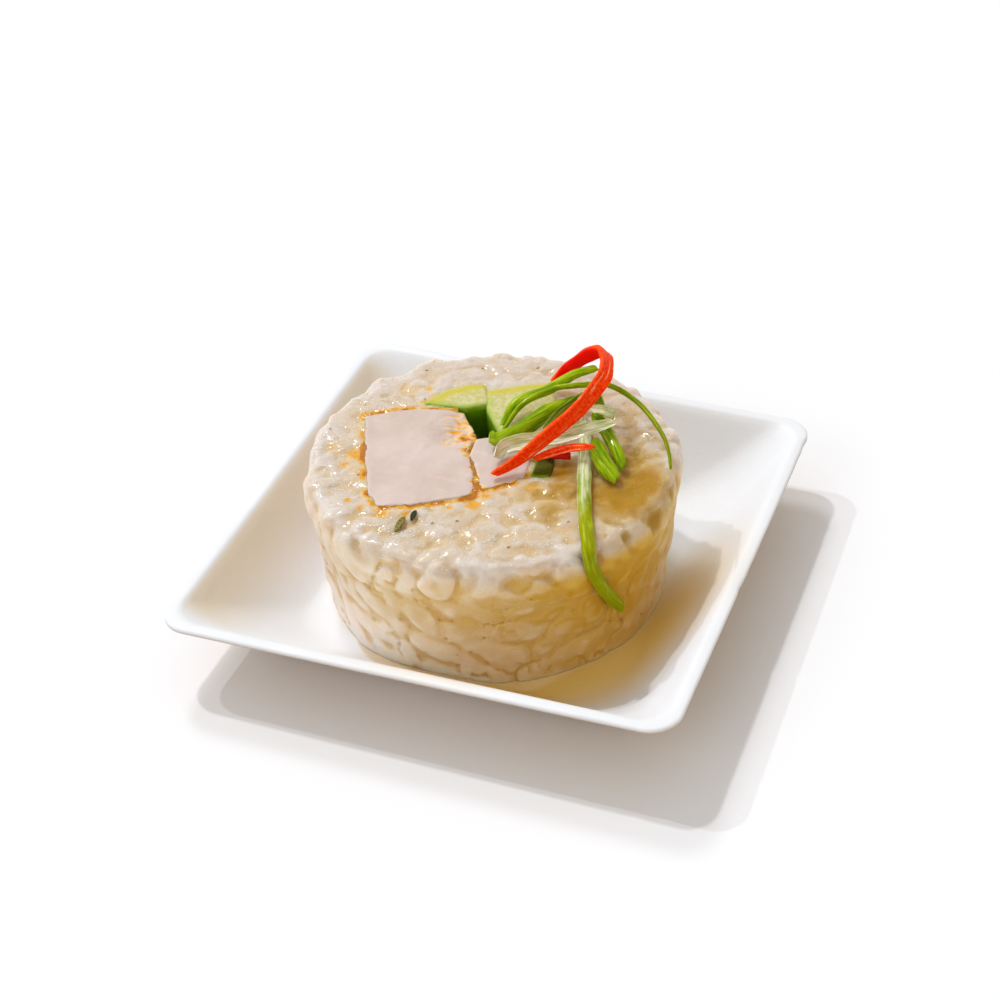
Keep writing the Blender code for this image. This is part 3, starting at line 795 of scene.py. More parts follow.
def pressRice(mesh):
    # flattens what stands past the mould's wall, the cut face and the plate
    s = riceShape
    points = readPoints(mesh) / mm
    away = points[:, :2] - np.array(s["centre"])
    radius = np.hypot(away[:, 0], away[:, 1])
    heading = np.degrees(np.arctan2(away[:, 1], away[:, 0]))
    kept = np.interp(heading, s["headings"], s["presses"])
    rimShare = np.clip((points[:, 2] - s["rimFrom"]) / s["rimOver"], 0, 1)
    limit = riceRadius(points[:, 2]) - s["wallPress"] + s["rimPush"] * rimShare
    over = np.maximum(0, radius - limit)
    pressed = radius - over * (1 - kept)
    points[:, :2] = np.array(s["centre"]) + away * (pressed / np.maximum(radius, 1e-6))[:, None]
    over = np.maximum(0, points[:, 2] - s["top"])
    points[:, 2] -= over * (1 - s["topPress"])
    points[:, 2] = np.maximum(points[:, 2], s["bottom"])
    writePoints(mesh, points * mm)


def flattenFoot(mesh):
    # the hidden foot becomes one flat face and settles into the plate, so the other faces go where they show
    s = riceShape
    bm = bmesh.new()
    bm.from_mesh(mesh)
    floor = (s["bottom"] + s["footSkin"]) * mm
    under = [f for f in bm.faces if all(v.co.z < floor for v in f.verts)]
    for v in bm.verts:
        height = max(0, v.co.z / mm - s["bottom"] - s["footSkin"])
        v.co.z -= s["footSink"] * max(0, 1 - height / s["footHeight"]) * mm
        if height == 0:
            v.co.z = (s["bottom"] - s["footSink"]) * mm
    bmesh.ops.dissolve_faces(bm, faces=under, use_verts=True)
    bmesh.ops.triangulate(bm, faces=[f for f in bm.faces if len(f.verts) > 4])
    bm.to_mesh(mesh)
    bm.free()


def growInPlan(mesh, amount):
    # moves the walls outwards, so that neighbours meet closely
    points = readPoints(mesh)
    outward = readNormals(mesh)[:, :2]
    length = np.hypot(outward[:, 0], outward[:, 1])
    steep = riceShape["steep"]
    share = np.where(length > steep, amount * mm / np.maximum(length, steep), 0)
    points[:, :2] += outward * share[:, None]
    writePoints(mesh, points)


def cutterFrom(node):
    # a copy of a filling, drawn out so that it cuts clean through the rice's top and foot
    s = riceShape
    mesh = copyOf(node, "cutter")
    growInPlan(mesh, fillings[node]["grow"] - s["grip"])
    points = readPoints(mesh)
    points[:, 2] += (points[:, 2] > s["cutAbove"] * mm) * s["cutOver"] * mm
    points[:, 2] -= (points[:, 2] < s["cutBelow"] * mm) * s["cutUnder"] * mm
    writePoints(mesh, points)
    return mesh


def cutOut(obj, mesh):
    tool = bpy.data.objects.new("cutter", mesh)
    bpy.context.scene.collection.objects.link(tool)
    cut = obj.modifiers.new("cut", "BOOLEAN")
    cut.operation = "DIFFERENCE"
    cut.solver = "MANIFOLD"
    cut.object = tool
    applyModifiers(obj)
    bpy.data.objects.remove(tool)


seepage = {
    # what has seeped from the chicken: x, y, reach and strength of each spot
    "spots": (
        (-20.6, -7.4, 1.9, 0.85), (-21.0, -10.2, 1.2, 0.6), (-20.7, -3.4, 1.4, 0.55),
        (-18.2, -11.6, 0.9, 0.6), (-16.9, -18.6, 0.8, 0.75), (-14.3, -19.6, 0.9, 0.6),
        (-10.8, -20.0, 1.4, 0.9), (-7.4, -18.9, 1.0, 0.7), (-2.0, -15.6, 1.0, 0.7),
        (1.2, -13.8, 1.4, 1.0), (2.2, -11.4, 1.2, 0.8), (8.0, -7.0, 1.6, 0.5),
        (-21.8, 4.0, 1.0, 0.5), (-18.6, 6.8, 0.9, 0.5), (-15.6, 9.0, 1.2, 0.55),
        (-19.4, 11.4, 2.6, 0.40), (-16.6, 12.6, 1.0, 0.6), (-22.6, -1.0, 2.4, 0.36),
        (-24.4, -6.6, 2.2, 0.34), (-15.4, 11.0, 0.9, 0.6),
    ),
    # how strong the line that hugs the walls is: x, y, reach and strength
    "line": (
        (-20.3, -7.0, 4.5, 1.0), (-18.6, -12.5, 4.0, 0.95), (-16.0, -17.5, 3.5, 1.0),
        (-11.0, -19.6, 4.5, 1.15), (-6.0, -18.2, 4.0, 0.95), (-2.0, -15.6, 3.5, 1.1),
        (1.0, -13.6, 3.5, 1.5), (3.0, -9.6, 3.0, 1.2),
        (5.6, -7.4, 3.0, 1.1), (8.2, -5.4, 2.5, 0.8), (-21.4, 3.6, 3.0, 0.6), (-18.0, 6.2, 3.5, 0.6),
        (-11.2, 9.8, 2.6, 0.7), (-14.6, 8.6, 3.0, 0.7), (-2.2, -4.8, 5.0, 1.1), (-4.8, 0.8, 3.5, 1.1),
        (-0.4, -9.6, 4.0, 1.5),
    ),
    "lineStart": 0.35, "lineWidth": 0.75, "lineLeast": 0.28, "lineLevel": 0.80,
    "lineNoise": ((2.4, 1.6), (0.9, 0.9)),  # span and strength
    "haze": 4.2, "hazeStrength": 0.32, "fadeFrom": 20.5, "fadeOver": 2,
    # painted shade: olive places where the garnish's shade lies on the rice
    "paintedOliveShade": (
        (23.5, -1.5, 6.5, 1.0), (22.5, -6.0, 6.5, 1.0), (19.5, -5.5, 6.5, 0.8), (10.5, -2.5, 3.5, 1.0),
        (12.5, -6.5, 4.5, 0.7), (20.0, 3.0, 5.5, 0.6), (8.5, -8.0, 4.0, 0.5), (24.5, -14.0, 6.0, 0.4),
        (12.5, -11.5, 3.6, 0.6),
    ),
    "oliveFrom": 14, "oliveOver": 8,
    "lime": 2.6, "limeAbove": 22.5,  # how far the cucumber tints the rice, and above what height
}


def spotLayer(points, spots):
    # how strongly the nearest spots cover each point, from 0
    cover = np.zeros(len(points))
    for x, y, reach, strength in spots:
        away = np.hypot(points[:, 0] - x, points[:, 1] - y)
        cover = np.maximum(cover, strength * np.clip(1.25 - away / reach, 0, 1))
    return cover


def insideOutline(points, outline):
    # which points lie inside an outline in plan
    inside = np.zeros(len(points), bool)
    x, y = points[:, 0], points[:, 1]
    for (ax, ay), (bx, by) in zip(outline, outline[1:] + outline[:1]):
        crosses = (ay > y) != (by > y)
        if ay != by:
            inside ^= crosses & (x < ax + (bx - ax) * (y - ay) / (by - ay))
    return inside


def growOutline(outline, amount):
    middle = np.mean(outline, axis=0)
    grown = []
    for p in outline:
        away = np.array(p) - middle
        grown.append(tuple(np.array(p) + away / np.linalg.norm(away) * amount))
    return tuple(grown)


def hollowCutter():
    # the open hollow's shape, with enough points for uneven walls
    form = hollowForm
    parts = form["sideParts"]
    outline = []
    for a, b in zip(hollow, hollow[1:] + hollow[:1]):
        outline += [np.array(a) + (np.array(b) - a) * i / parts for i in range(parts)]
    count = len(outline)
    low = riceShape["top"] - form["depth"]
    levels = [low + form["level"] * i for i in range(form["levels"])] + [form["top"]]
    points = [(x, y, z) for z in levels for x, y in outline]
    last = (len(levels) - 1) * count
    faces = [list(range(count)), list(range(last, last + count))[::-1]]
    for level in range(len(levels) - 1):
        for i in range(count):
            a, b = level * count, (level + 1) * count
            j = (i + 1) % count
            faces.append([b + i, b + j, a + j, a + i])
    return makeMesh("cutter", np.array(points) * mm, faces)


def nearestGrains(points, grains):
    # the number of each point's own grain, and how much nearer it is than the next two, in millimetres
    tree = KDTree(len(grains) * 5)
    for number, (at, along, _, span) in enumerate(grains):
        for step in (-2, -1, 0, 1, 2):
            tree.insert(at + along * step * 0.2 * span.x, number)
    tree.balance()
    own = np.zeros(len(points), int)
    leads = np.zeros((len(points), 2))
    for i, p in enumerate(points):
        found = {}
        for _, index, far in tree.find_n(Vector(p), 10):
            found.setdefault(index, far)
        ranked = list(found.items()) + [(0, 9.0), (0, 9.0)]
        own[i] = ranked[0][0]
        leads[i] = ranked[1][1] - ranked[0][1], ranked[2][1] - ranked[0][1]
    return own, leads


def creaseRice(mesh, grains):
    # draws the borders of the grains in as shallow creases, with small pits where three of them meet
    s = riceShape
    points = readPoints(mesh)
    own, leads = nearestGrains(points / mm, grains)
    draw = random.Random(s["seed"] + 2)
    pitted = np.array([draw.random() < s["pitted"] for _ in grains])
    side = np.clip((s["top"] - s["creaseFrom"] - points[:, 2] / mm) / s["creaseOver"], 0, 1)
    crease = np.clip(1 - leads[:, 0] / s["creaseWidth"], 0, 1) ** 1.5
    shift = crease * (s["topCrease"] + (s["sideCrease"] - s["topCrease"]) * side)
    shift += np.clip(1 - leads[:, 1] / s["pitWidth"], 0, 1) * side * pitted[own] * s["pitDepth"]
    shift *= points[:, 2] > (s["bottom"] + s["footBand"]) * mm
    writePoints(mesh, points - readNormals(mesh) * shift[:, None] * mm)


def seepLayer(points, toChicken):
    # the dark line along the chicken's walls, the haze round it and the spots
    level = seepage["lineLevel"]
    for number, (span, strength) in enumerate(seepage["lineNoise"]):
        level = level + strength * waves(points * mm, span, 41 + number)
    line = np.clip(1.25 - np.maximum(0, toChicken - seepage["lineStart"]) / seepage["lineWidth"], 0, 1)
    line *= seepage["lineLeast"] + spotLayer(points, seepage["line"])
    line *= np.clip(level, 0.05, 1.3)
    haze = seepage["hazeStrength"] * np.clip(1 - toChicken / seepage["haze"], 0, 1)
    seep = np.maximum(spotLayer(points, seepage["spots"]), line + haze)
    return seep * np.clip((points[:, 2] - seepage["fadeFrom"]) / seepage["fadeOver"], 0, 1)


def riceLayers(mesh, grains, reaches):
    # what the finish needs at each point
    s = riceShape
    points = readPoints(mesh) / mm
    draw = random.Random(s["seed"] + 1)
    own, leads = nearestGrains(points, grains)
    tints = np.array([draw.random() for _ in grains])
    heights = np.array([at.z for at, _, _, _ in grains])
    away = points[:, :2] - np.array(s["centre"])
    sideDepth = riceRadius(points[:, 2]) - np.hypot(away[:, 0], away[:, 1])
    depth = np.minimum(sideDepth, s["top"] - points[:, 2])
    # light that gets in from above reaches a whole grain, so it fades by grains as much as by height
    byGrain = s["lightByGrain"]
    below = s["top"] - (byGrain * heights[own] + (1 - byGrain) * points[:, 2])
    inHollow = insideOutline(points, growOutline(hollow, 0.4)) & (points[:, 2] < s["top"] - 0.2)
    inHollow |= lineDistance(points, hollow + hollow[:1]) < 0.12
    inHollow &= points[:, 1] > 1.0
    addLayer(mesh, "tint", evened(mesh, tints[own], s["tintSoften"]))
    addLayer(mesh, "edge", np.clip(leads[:, 0] / 1.5, 0, 1))
    addLayer(mesh, "glow", evened(mesh, np.clip(1 - below / reaches[own], 0, 1), s["glowSoften"]))
    # 1 where the surface stands proud of its surroundings and 0 where it lies sunk among them
    around = evened(mesh, points, s["proudSpan"])
    stands = np.einsum("ij,ij->i", points - around, readNormals(mesh)) - s["proudLevel"]
    stands = evened(mesh, np.clip(stands, -s["proudMost"], s["proudMost"]), s["proudSoften"])
    addLayer(mesh, "proud", np.clip(0.5 + 0.5 * stands / s["proudDepth"], 0, 1))
    toCucumber = wallDistance(points * mm, ["cucumber_left", "cucumber_right"])
    lime = np.clip(1 - toCucumber / seepage["lime"], 0, 1)
    addLayer(mesh, "lime", lime * (points[:, 2] > seepage["limeAbove"]))
    # painted shade: how far a point lies within the rice's outer form, for the finish to paint darker
    addLayer(mesh, "deep", np.clip(depth / 1.2, 0, 1))
    toChicken = wallDistance(points * mm, ["chicken_large", "chicken_small"])
    addLayer(mesh, "seep", seepLayer(points, toChicken))
    paintedOliveShade = np.clip((points[:, 2] - seepage["oliveFrom"]) / seepage["oliveOver"], 0, 1)
    addLayer(mesh, "paintedOliveShade", spotLayer(points, seepage["paintedOliveShade"]) * paintedOliveShade)
    # painted shade: how far each point lies on the side that the window's light leaves in shade, for the
    # finish to paint darker and warmer
    shaded = away @ np.array(s["shadeWay"]) / s["topRadius"]
    addLayer(mesh, "shaded", np.clip(shaded * 0.5 + 0.5, 0, 1))
    # painted shade: the rice in the open hollow is painted dark green, darker the deeper it lies
    addLayer(mesh, "pit", inHollow.astype(float))
    addLayer(mesh, "dark", np.clip((s["top"] - 0.6 - points[:, 2]) / 4.5, 0, 1))
    return toChicken


riceTones = {
    # the side, with painted shade and light: warm, darker and warmer on the shaded side, paler away from it,
    # lighter at the foot, then by grain and facet, and by lump, lighter where it stands proud and darker in
    # sunk places and creases
    "warm": (0.86, 0.72, 0.52), "shaded": (0.60, 0.345, 0.02), "away": (0.84, 0.72, 0.59),
    "low": (1.0, 0.915, 0.855), "pale": (0.91, 0.83, 0.73), "facet": (0.92, 0.84, 0.74),
    "brown": (0.72, 0.50, 0.20), "proud": (0.93, 0.86, 0.79), "sunk": (0.80, 0.56, 0.22),
    "crease": (0.68, 0.37, 0.05),
    # painted shade and light: what the side is multiplied by, towards the shaded side and away from it
    "shadedLight": (1.0, 0.97, 0.82), "rightLight": (0.93, 0.80, 0.24), "awayLight": (0.90, 0.82, 0.77),
    # where light from above gets in
    "litLow": (0.72, 0.595, 0.46), "litHigh": (0.77, 0.695, 0.62), "litAway": (0.68, 0.53, 0.37),
    "litFacet": (0.80, 0.74, 0.69),
    # the cut face, lighter where it stands proud, with painted shade in its sunk places, painted light away
    # from the shaded side and painted glints
    "topLow": (0.60, 0.435, 0.26), "topHigh": (0.615, 0.55, 0.485), "topProud": (0.69, 0.645, 0.61),
    "topSunk": (0.62, 0.405, 0.15), "topFacet": (0.71, 0.665, 0.63), "topDull": (0.62, 0.445, 0.23),
    "topEdge": (0.70, 0.64, 0.57), "topAway": (0.64, 0.57, 0.525), "paintedTopGlint": (0.90, 0.88, 0.86),
    # what lies over both: painted shade deep in the rice and under the garnish, the painted olive shade,
    # stains of cucumber and oil, and the hollow's painted shade
    "deep": (0.42, 0.21, 0.02), "paintedWarmShade": (0.59, 0.41, 0.11), "paintedOliveShade": (0.39, 0.20, 0.002),
    "lime": (0.56, 0.50, 0.15), "oilThin": (0.72, 0.45, 0.11), "oil": (0.74, 0.33, 0.01),
    "oilDark": (0.40, 0.11, 0.004), "pit": (0.24, 0.50, 0.003), "pitDark": (0.20, 0.42, 0.002),
    "garnishShade": (1.0, 0.88, 0.58),
}


def riceMaterial():
    paint = surface("cookedRice", {
        "Subsurface Weight": 1.0, "Subsurface Radius": (1.0, 0.80, 0.62), "Subsurface Scale": 0.0019,
        "Specular IOR Level": 0.08, "Coat Roughness": 0.07, "Coat IOR": 1.38,
    })
    tones = riceTones
    tint, edge, glow, proud = (paint.layer(name) for name in ("tint", "edge", "glow", "proud"))
    shaded, pit, shade = (paint.layer(name) for name in ("shaded", "pit", "shade"))
    high = (paint.along("Z") - 0.001) / 0.0232
    facing = paint.node("ShaderNodeTexCoord", {}, {}, "Normal")
    flat = paint.along("Z", facing).rise(0.1, 0.8) * high.rise(0.72, 0.9)
    broad = paint.cloud(6, 2)
    middle = paint.cloud(2.2, 3, 0.6)
    fine = paint.cloud(0.8, 3, 0.6)
    crumb = paint.cloud(0.35, 3, 0.6)
    facet = paint.shards(2.7, 4.0)
    bright = (facet - 0.5).rise(0.0, 0.5)
    sunk = (0.5 - proud).rise(0.0, 0.42)
    stands = (proud - 0.5).rise(0.0, 0.42)
    right = shaded.rise(0.75, 1.0)
    left = 1 - shaded
    # painted shade and light on the side: darker and warmer towards the shaded side, paler away from it,
    # lighter at the foot, lighter on lumps and darker in sunk places and creases
    side = paint.coats(
        paint.mix(shaded.rise(0.45, 1.04), tones["warm"], tones["shaded"]),
        (left.rise(0.42, 0.85) * 0.85, tones["away"]),
        ((1 - high).rise(0.4, 0.9) * (1 - right) * 0.95, tones["low"]),
        (tint.rise(0.4, 1.0) * (0.3 - right * 0.1), tones["pale"]),
        (bright * 0.16, tones["facet"]),
        ((0.6 - tint).rise(0.0, 0.6) * 0.2, tones["brown"]),
        (stands * (0.45 - right * 0.15), tones["proud"]),
        (sunk * (0.28 + shaded * 0.2), tones["sunk"]),
        ((0.12 - proud).rise(0.0, 0.12) * shaded * 0.4, tones["crease"]),
        (shaded.rise(0.6, 0.9) * 0.5, tones["shadedLight"], "MULTIPLY"),
        (shaded.rise(0.94, 0.99), tones["rightLight"], "MULTIPLY"),
        (left.rise(0.35, 0.6) * 0.8, tones["awayLight"], "MULTIPLY"),
    )
    lit = paint.coats(
        paint.mix(tint * 0.5 + stands * 0.5, tones["litLow"], tones["litHigh"]),
        (left.rise(0.2, 0.45) * 0.8, tones["litAway"]),
        (bright * 0.25, tones["litFacet"]),
    )
    side = paint.mix((glow + (tint - 0.5) * 0.16 + (middle - 0.5) * 0.2).rise(0.18, 0.84) * 0.95, side, lit)
    patch = tint * 0.3 + broad.rise(0.3, 0.7) * 0.35 + middle.rise(0.35, 0.65) * 0.35
    top = paint.coats(
        paint.mix(patch, tones["topLow"], tones["topHigh"]),
        (stands * 0.5, tones["topProud"]),
        ((sunk + (fine - 0.5) * 0.6).rise(0.1, 0.9) * 0.65, tones["topSunk"]),
        (bright * 0.36, tones["topFacet"]),
        ((0.5 - facet).rise(0.0, 0.5) * 0.4, tones["topDull"]),
        ((1 - edge).rise(0.3, 1.0) * 0.15, tones["topEdge"]),
        (left.rise(0.3, 0.8) * 0.4, tones["topAway"]),
        # painted glints: tiny near-white specks on the cut face
        (crumb.rise(0.60, 0.68) * 0.32, tones["paintedTopGlint"]),
    )
    paintedWarmShade = paint.layer("paintedOliveShade") + (broad - 0.5) * 0.2 + (sunk - stands) * 0.16 + (facet - 0.5) * 0.15
    oil = paint.layer("seep") * 1.35 + (fine - 0.5) * 1.3 + (crumb - 0.5) * 0.9
    colour = paint.coats(
        paint.mix(flat, side, top),
        (paint.layer("deep").rise(0.55, 1.0) * 0.85, tones["deep"]),
        (paintedWarmShade.rise(0.0, 0.6) * 0.6, tones["paintedWarmShade"]),
        (paintedWarmShade.rise(0.12, 0.95) * 0.95, tones["paintedOliveShade"]),
        ((paint.layer("lime") + (fine - 0.5) * 0.5).rise(0.2, 1.0) * 0.6, tones["lime"]),
        (oil.rise(0.1, 0.7) * 0.7, tones["oilThin"]),
        (oil.rise(0.6, 1.0) * 0.9, tones["oil"]),
        (oil.rise(1.25, 1.7) * 0.75, tones["oilDark"]),
        # painted shade in the open hollow
        (pit, paint.mix(paint.layer("dark"), tones["pit"], tones["pitDark"])),
        (shade * 0.85, tones["garnishShade"], "MULTIPLY"),
    )
    wet = paint.cloud(1.5, 3, 0.6).rise(0.5, 0.62) * (1 - paintedWarmShade.rise(0.3, 1.0) * 0.7)
    pebble = paint.cells(0.42) * 0.35 + paint.cloud(0.22, 3, 0.7) * 0.35 + facet * flat * 0.9
    return paint.finish({
        "Base Color": colour,
        "Roughness": (0.55 - wet * 0.15).most(pit),
        "Coat Weight": (0.15 + wet * 0.75) * (0.06 + flat * 0.94) * (1 - pit),
        "Normal": paint.bump(pebble, 0.15),
    })


def closeSeam(mesh, toChicken):
    # draws the rice's top up or down to one height along the chicken
    s = riceShape
    points = readPoints(mesh)
    start, end = s["seamFrom"]
    seam = np.clip(s["seamOver"] - toChicken / s["seamWidth"], 0, 1)
    seam *= np.clip((points[:, 2] / mm - start) / (end - start), 0, 1)
    height = s["seamHeight"] + waves(points, s["seamSpan"], 51) * s["seamNoise"]
    points[:, 2] += seam * (height * mm - points[:, 2]) * (points[:, 2] > s["seamAbove"] * mm)
    writePoints(mesh, points)


def makeRice():
    s = riceShape
    draw = random.Random(s["seed"])
    inside = scatterSide(draw) + scatterTop(draw)
    grains = inside + scatterRim(draw)
    rim = (len(inside), len(grains))
    grains += scatterFoot(draw)
    rice = addObject("riceDisc", riceMass(grains), riceMaterial())
    fuse(rice, s["voxel"], s["soften"])
    roughen(rice.data, s["rimRelief"], s["seed"] + 9, s["rimReliefAbove"])
    pressRice(rice.data)
    softenRice(rice.data)
    roughen(rice.data, s["relief"], s["seed"])
    roughen(rice.data, s["topRelief"], s["seed"] + 5, s["topReliefAbove"])
    creaseRice(rice.data, grains)
    flattenFoot(rice.data)
    for node in fillings:
        cutOut(rice, cutterFrom(node))
    cutOut(rice, hollowCutter())
    material = rice.data.materials[0]
    rice.data = keepOutside(rice.data)
    rice.data.materials.append(material)
    closeSeam(rice.data, riceLayers(rice.data, grains, lightReach(grains, rim)))
    rice.data.shade_smooth()
    rice.data.set_sharp_from_angle(angle=math.radians(62))
    setIn(rice, "rice", "rice")
    rice.data.calc_loop_triangles()
    print("rice made,", len(grains), "grains,", len(rice.data.loop_triangles), "triangles")
    return rice


# Chicken and cucumber

fillings = {
    # fibre is how stringy the meat is, grow how far its walls move out to meet the rice
    "chicken_large": {
        "slot": "chicken", "voxel": 0.27, "relief": ((3.0, 0.10), (1.1, 0.05)), "fibre": 1.0, "grow": 0.3,
        # torn, browned places: x, y, reach and strength
        "spots": (
            (-6.4, 1.9, 1.7, 1.35), (-4.9, 3.4, 1.3, 1.3), (-4.7, 5.2, 1.3, 1.1), (-4.8, -1.2, 1.3, 1.1),
            (-8.6, 6.2, 3.0, 0.72), (-8.0, 3.7, 2.6, 0.70), (-8.2, 0.0, 1.6, 0.5), (-5.8, 6.6, 1.9, 0.95),
            (-3.6, -2.6, 0.9, 0.9), (-2.2, -5.5, 0.7, 0.8), (-0.8, -8.6, 0.8, 1.0), (0.4, -11.2, 0.9, 1.1),
        ),
    },
    "chicken_small": {
        "slot": "chicken", "voxel": 0.27, "relief": ((2.5, 0.10), (0.9, 0.05)), "fibre": 0.1, "grow": 0.5,
        "spots": (
            (-0.6, -7.2, 0.8, 0.9), (1.0, -9.8, 1.0, 1.1), (3.4, -8.2, 0.9, 0.9), (5.4, -6.6, 0.9, 0.8),
            (-3.4, -1.6, 0.7, 0.7),
        ),
    },
    # skin is the line of the cucumber's peel and far the line of its seeds
    "cucumber_left": {
        "slot": "cucumber", "voxel": 0.32, "relief": ((2.0, 0.08),), "grow": 0.6, "paintedDim": 0.0,
        "skin": ((-15.8, 8.05), (-12.2, 8.4), (-8.8, 8.85), (-5.6, 10.9)),
        "far": ((-15.4, 8.6), (-13.1, 12.8), (-10.5, 15.0), (-8.5, 15.8)),
    },
    "cucumber_right": {
        "slot": "cucumber", "voxel": 0.32, "relief": ((2.0, 0.08),), "grow": 0.6, "paintedDim": 0.0,
        "skin": ((-6.8, 12.0), (-6.2, 9.9), (-1.9, 4.3), (1.8, 5.3)),
        "far": ((-7.0, 14.6), (-1.6, 17.9), (1.2, 19.3)),
    },
    # painted shade: this piece's top is painted dark olive, as it lies in shade
    "cucumber_front": {
        "slot": "cucumber", "voxel": 0.32, "relief": ((2.0, 0.06),), "grow": 0.15, "paintedDim": 1.0,
        "skin": ((6.1, 0.9), (7.0, -4.9), (9.9, -4.2)),
        "far": ((8.6, 1.6), (9.9, -4.0)),
    },
}
tearing = {
    "run": (0.93, 0.35),  # which way the meat's fibres run, in plan
    "fibre": (3.0, 0.36), "fibreShare": 0.7, "lumpSpan": 0.8, "lumpShare": 0.45,
    "topFrom": 23.0, "topOver": 0.8, "lift": 0.45, "level": 0.12, "liftMost": 0.05,
    "inwards": 0.55, "wallReach": 1.6, "brownWall": 0.8, "brownTop": (24.26, 0.22),
}
# where the cucumber lies in the open hollow, and so is painted darker as shade
sunken = {"reach": 1.3, "below": 23.9, "from": 24.0, "over": 2.5}


def lineDistance(points, line):
    # how far each point is in plan from a broken line
    far = np.full(len(points), 99.0)
    for a, b in zip(line, line[1:]):
        a, b = np.array(a), np.array(b)
        share = np.clip(((points[:, :2] - a) @ (b - a)) / ((b - a) @ (b - a)), 0, 1)
        far = np.minimum(far, np.linalg.norm(points[:, :2] - a - share[:, None] * (b - a), axis=1))
    return far


def fibreWaves(points, along, across, seed):
    # noise drawn out along the fibres
    run = np.array(tearing["run"])
    cross = np.array((-run[1], run[0]))
    u = points[:, :2] @ run / along
    v = points[:, :2] @ cross / across
    return np.array([noise(Vector((a, b, c / 3 + seed))) for a, b, c in zip(u, v, points[:, 2])])


meatTones = {
    "low": (0.60, 0.475, 0.42), "high": (0.645, 0.535, 0.485), "fibre": (0.70, 0.60, 0.55),
    "groove": (0.60, 0.45, 0.37), "crustThin": (0.80, 0.56, 0.27), "crust": (0.86, 0.40, 0.012),
    "crustDark": (0.40, 0.10, 0.004),
}
cucumberTones = {
    # the dim tone paints the front piece's shade and the two sunk tones paint shade deep in the hollow
    "low": (0.52, 0.475, 0.16), "high": (0.64, 0.60, 0.33), "far": (0.58, 0.50, 0.05),
    "near": (0.36, 0.50, 0.06), "paintedDim": (0.085, 0.085, 0.002), "skin": (0.17, 0.36, 0.002),
    "sunk": (0.12, 0.29, 0.0005), "deepest": (0.09, 0.22, 0.0005),
}


def chickenMaterial():
    paint = surface("poachedChicken", {
        "Subsurface Weight": 0.6, "Subsurface Radius": (1.0, 0.7, 0.5), "Subsurface Scale": 0.0004,
        "Specular IOR Level": 0.22, "Coat Roughness": 0.25,
    })
    tones = meatTones
    along = paint.stretch(paint.place, (0.3, 1.0, 0.5))
    turned = paint.node("ShaderNodeMapping", {}, {"Vector": along, "Rotation": (0, 0, -0.36)})
    fibre = paint.cloud(0.9, 4, 0.6, turned)
    fine = paint.cloud(0.7, 4, 0.65)
    crust = paint.layer("wall") * 0.62 + paint.layer("brown") * 1.2 + (fine - 0.5) * 1.4
    colour = paint.coats(
        paint.mix(paint.cloud(8, 2).rise(0.3, 0.7), tones["low"], tones["high"]),
        (fibre.rise(0.52, 0.72) * 0.4, tones["fibre"]),
        ((1 - fibre).rise(0.55, 0.75) * 0.35, tones["groove"]),
        (crust.rise(0.15, 0.6) * 0.75, tones["crustThin"]),
        (crust.rise(0.5, 0.95) * 0.9, tones["crust"]),
        (crust.rise(1.2, 1.8) * 0.8, tones["crustDark"]),
    )
    return paint.finish({
        "Base Color": colour,
        "Roughness": 0.55 - crust.rise(0.3, 0.8) * 0.2,
        "Coat Weight": crust.rise(0.3, 0.8) * 0.3,
        "Normal": paint.bump(fibre * 0.6 + fine * 0.4, 0.09),
    })


def cucumberMaterial():
    paint = surface("cutCucumber", {
        "Subsurface Weight": 0.6, "Subsurface Radius": (0.8, 1.0, 0.4), "Subsurface Scale": 0.0006,
        "Specular IOR Level": 0.06, "Coat Roughness": 0.1,
    })
    tones = cucumberTones
    skin, far, paintedDim, sunk = (paint.layer(name) for name in ("skin", "far", "paintedDim", "sunk"))
    fine = paint.cloud(0.8, 3, 0.6)
    uneven = (fine - 0.5) * 0.9
    colour = paint.coats(
        paint.mix(fine.rise(0.3, 0.7), tones["low"], tones["high"]),
        ((1 - (far + uneven).rise(0.6, 2.2)) * 0.9, tones["far"]),
        ((1 - (skin + uneven).rise(0.3, 1.7)) * 0.8, tones["near"]),
        # painted shade on the front piece
        (paintedDim, tones["paintedDim"]),
        (1 - (skin + uneven * 0.2).rise(0.1, 0.5), tones["skin"]),
        # painted shade, darker the deeper the cucumber lies in the hollow
        (sunk.rise(0.05, 0.35), tones["sunk"]),
        (sunk.rise(0.3, 1.0), tones["deepest"]),
    )
    return paint.finish({
        "Base Color": colour,
        "Roughness": (0.38 + fine * 0.15).most(sunk),
        "Coat Weight": fine.rise(0.5, 0.7) * 0.35 * (1 - sunk) * (1 - paintedDim),
        "Normal": paint.bump(paint.cells(0.5) * 0.5 + fine * 0.5, 0.06),
    })


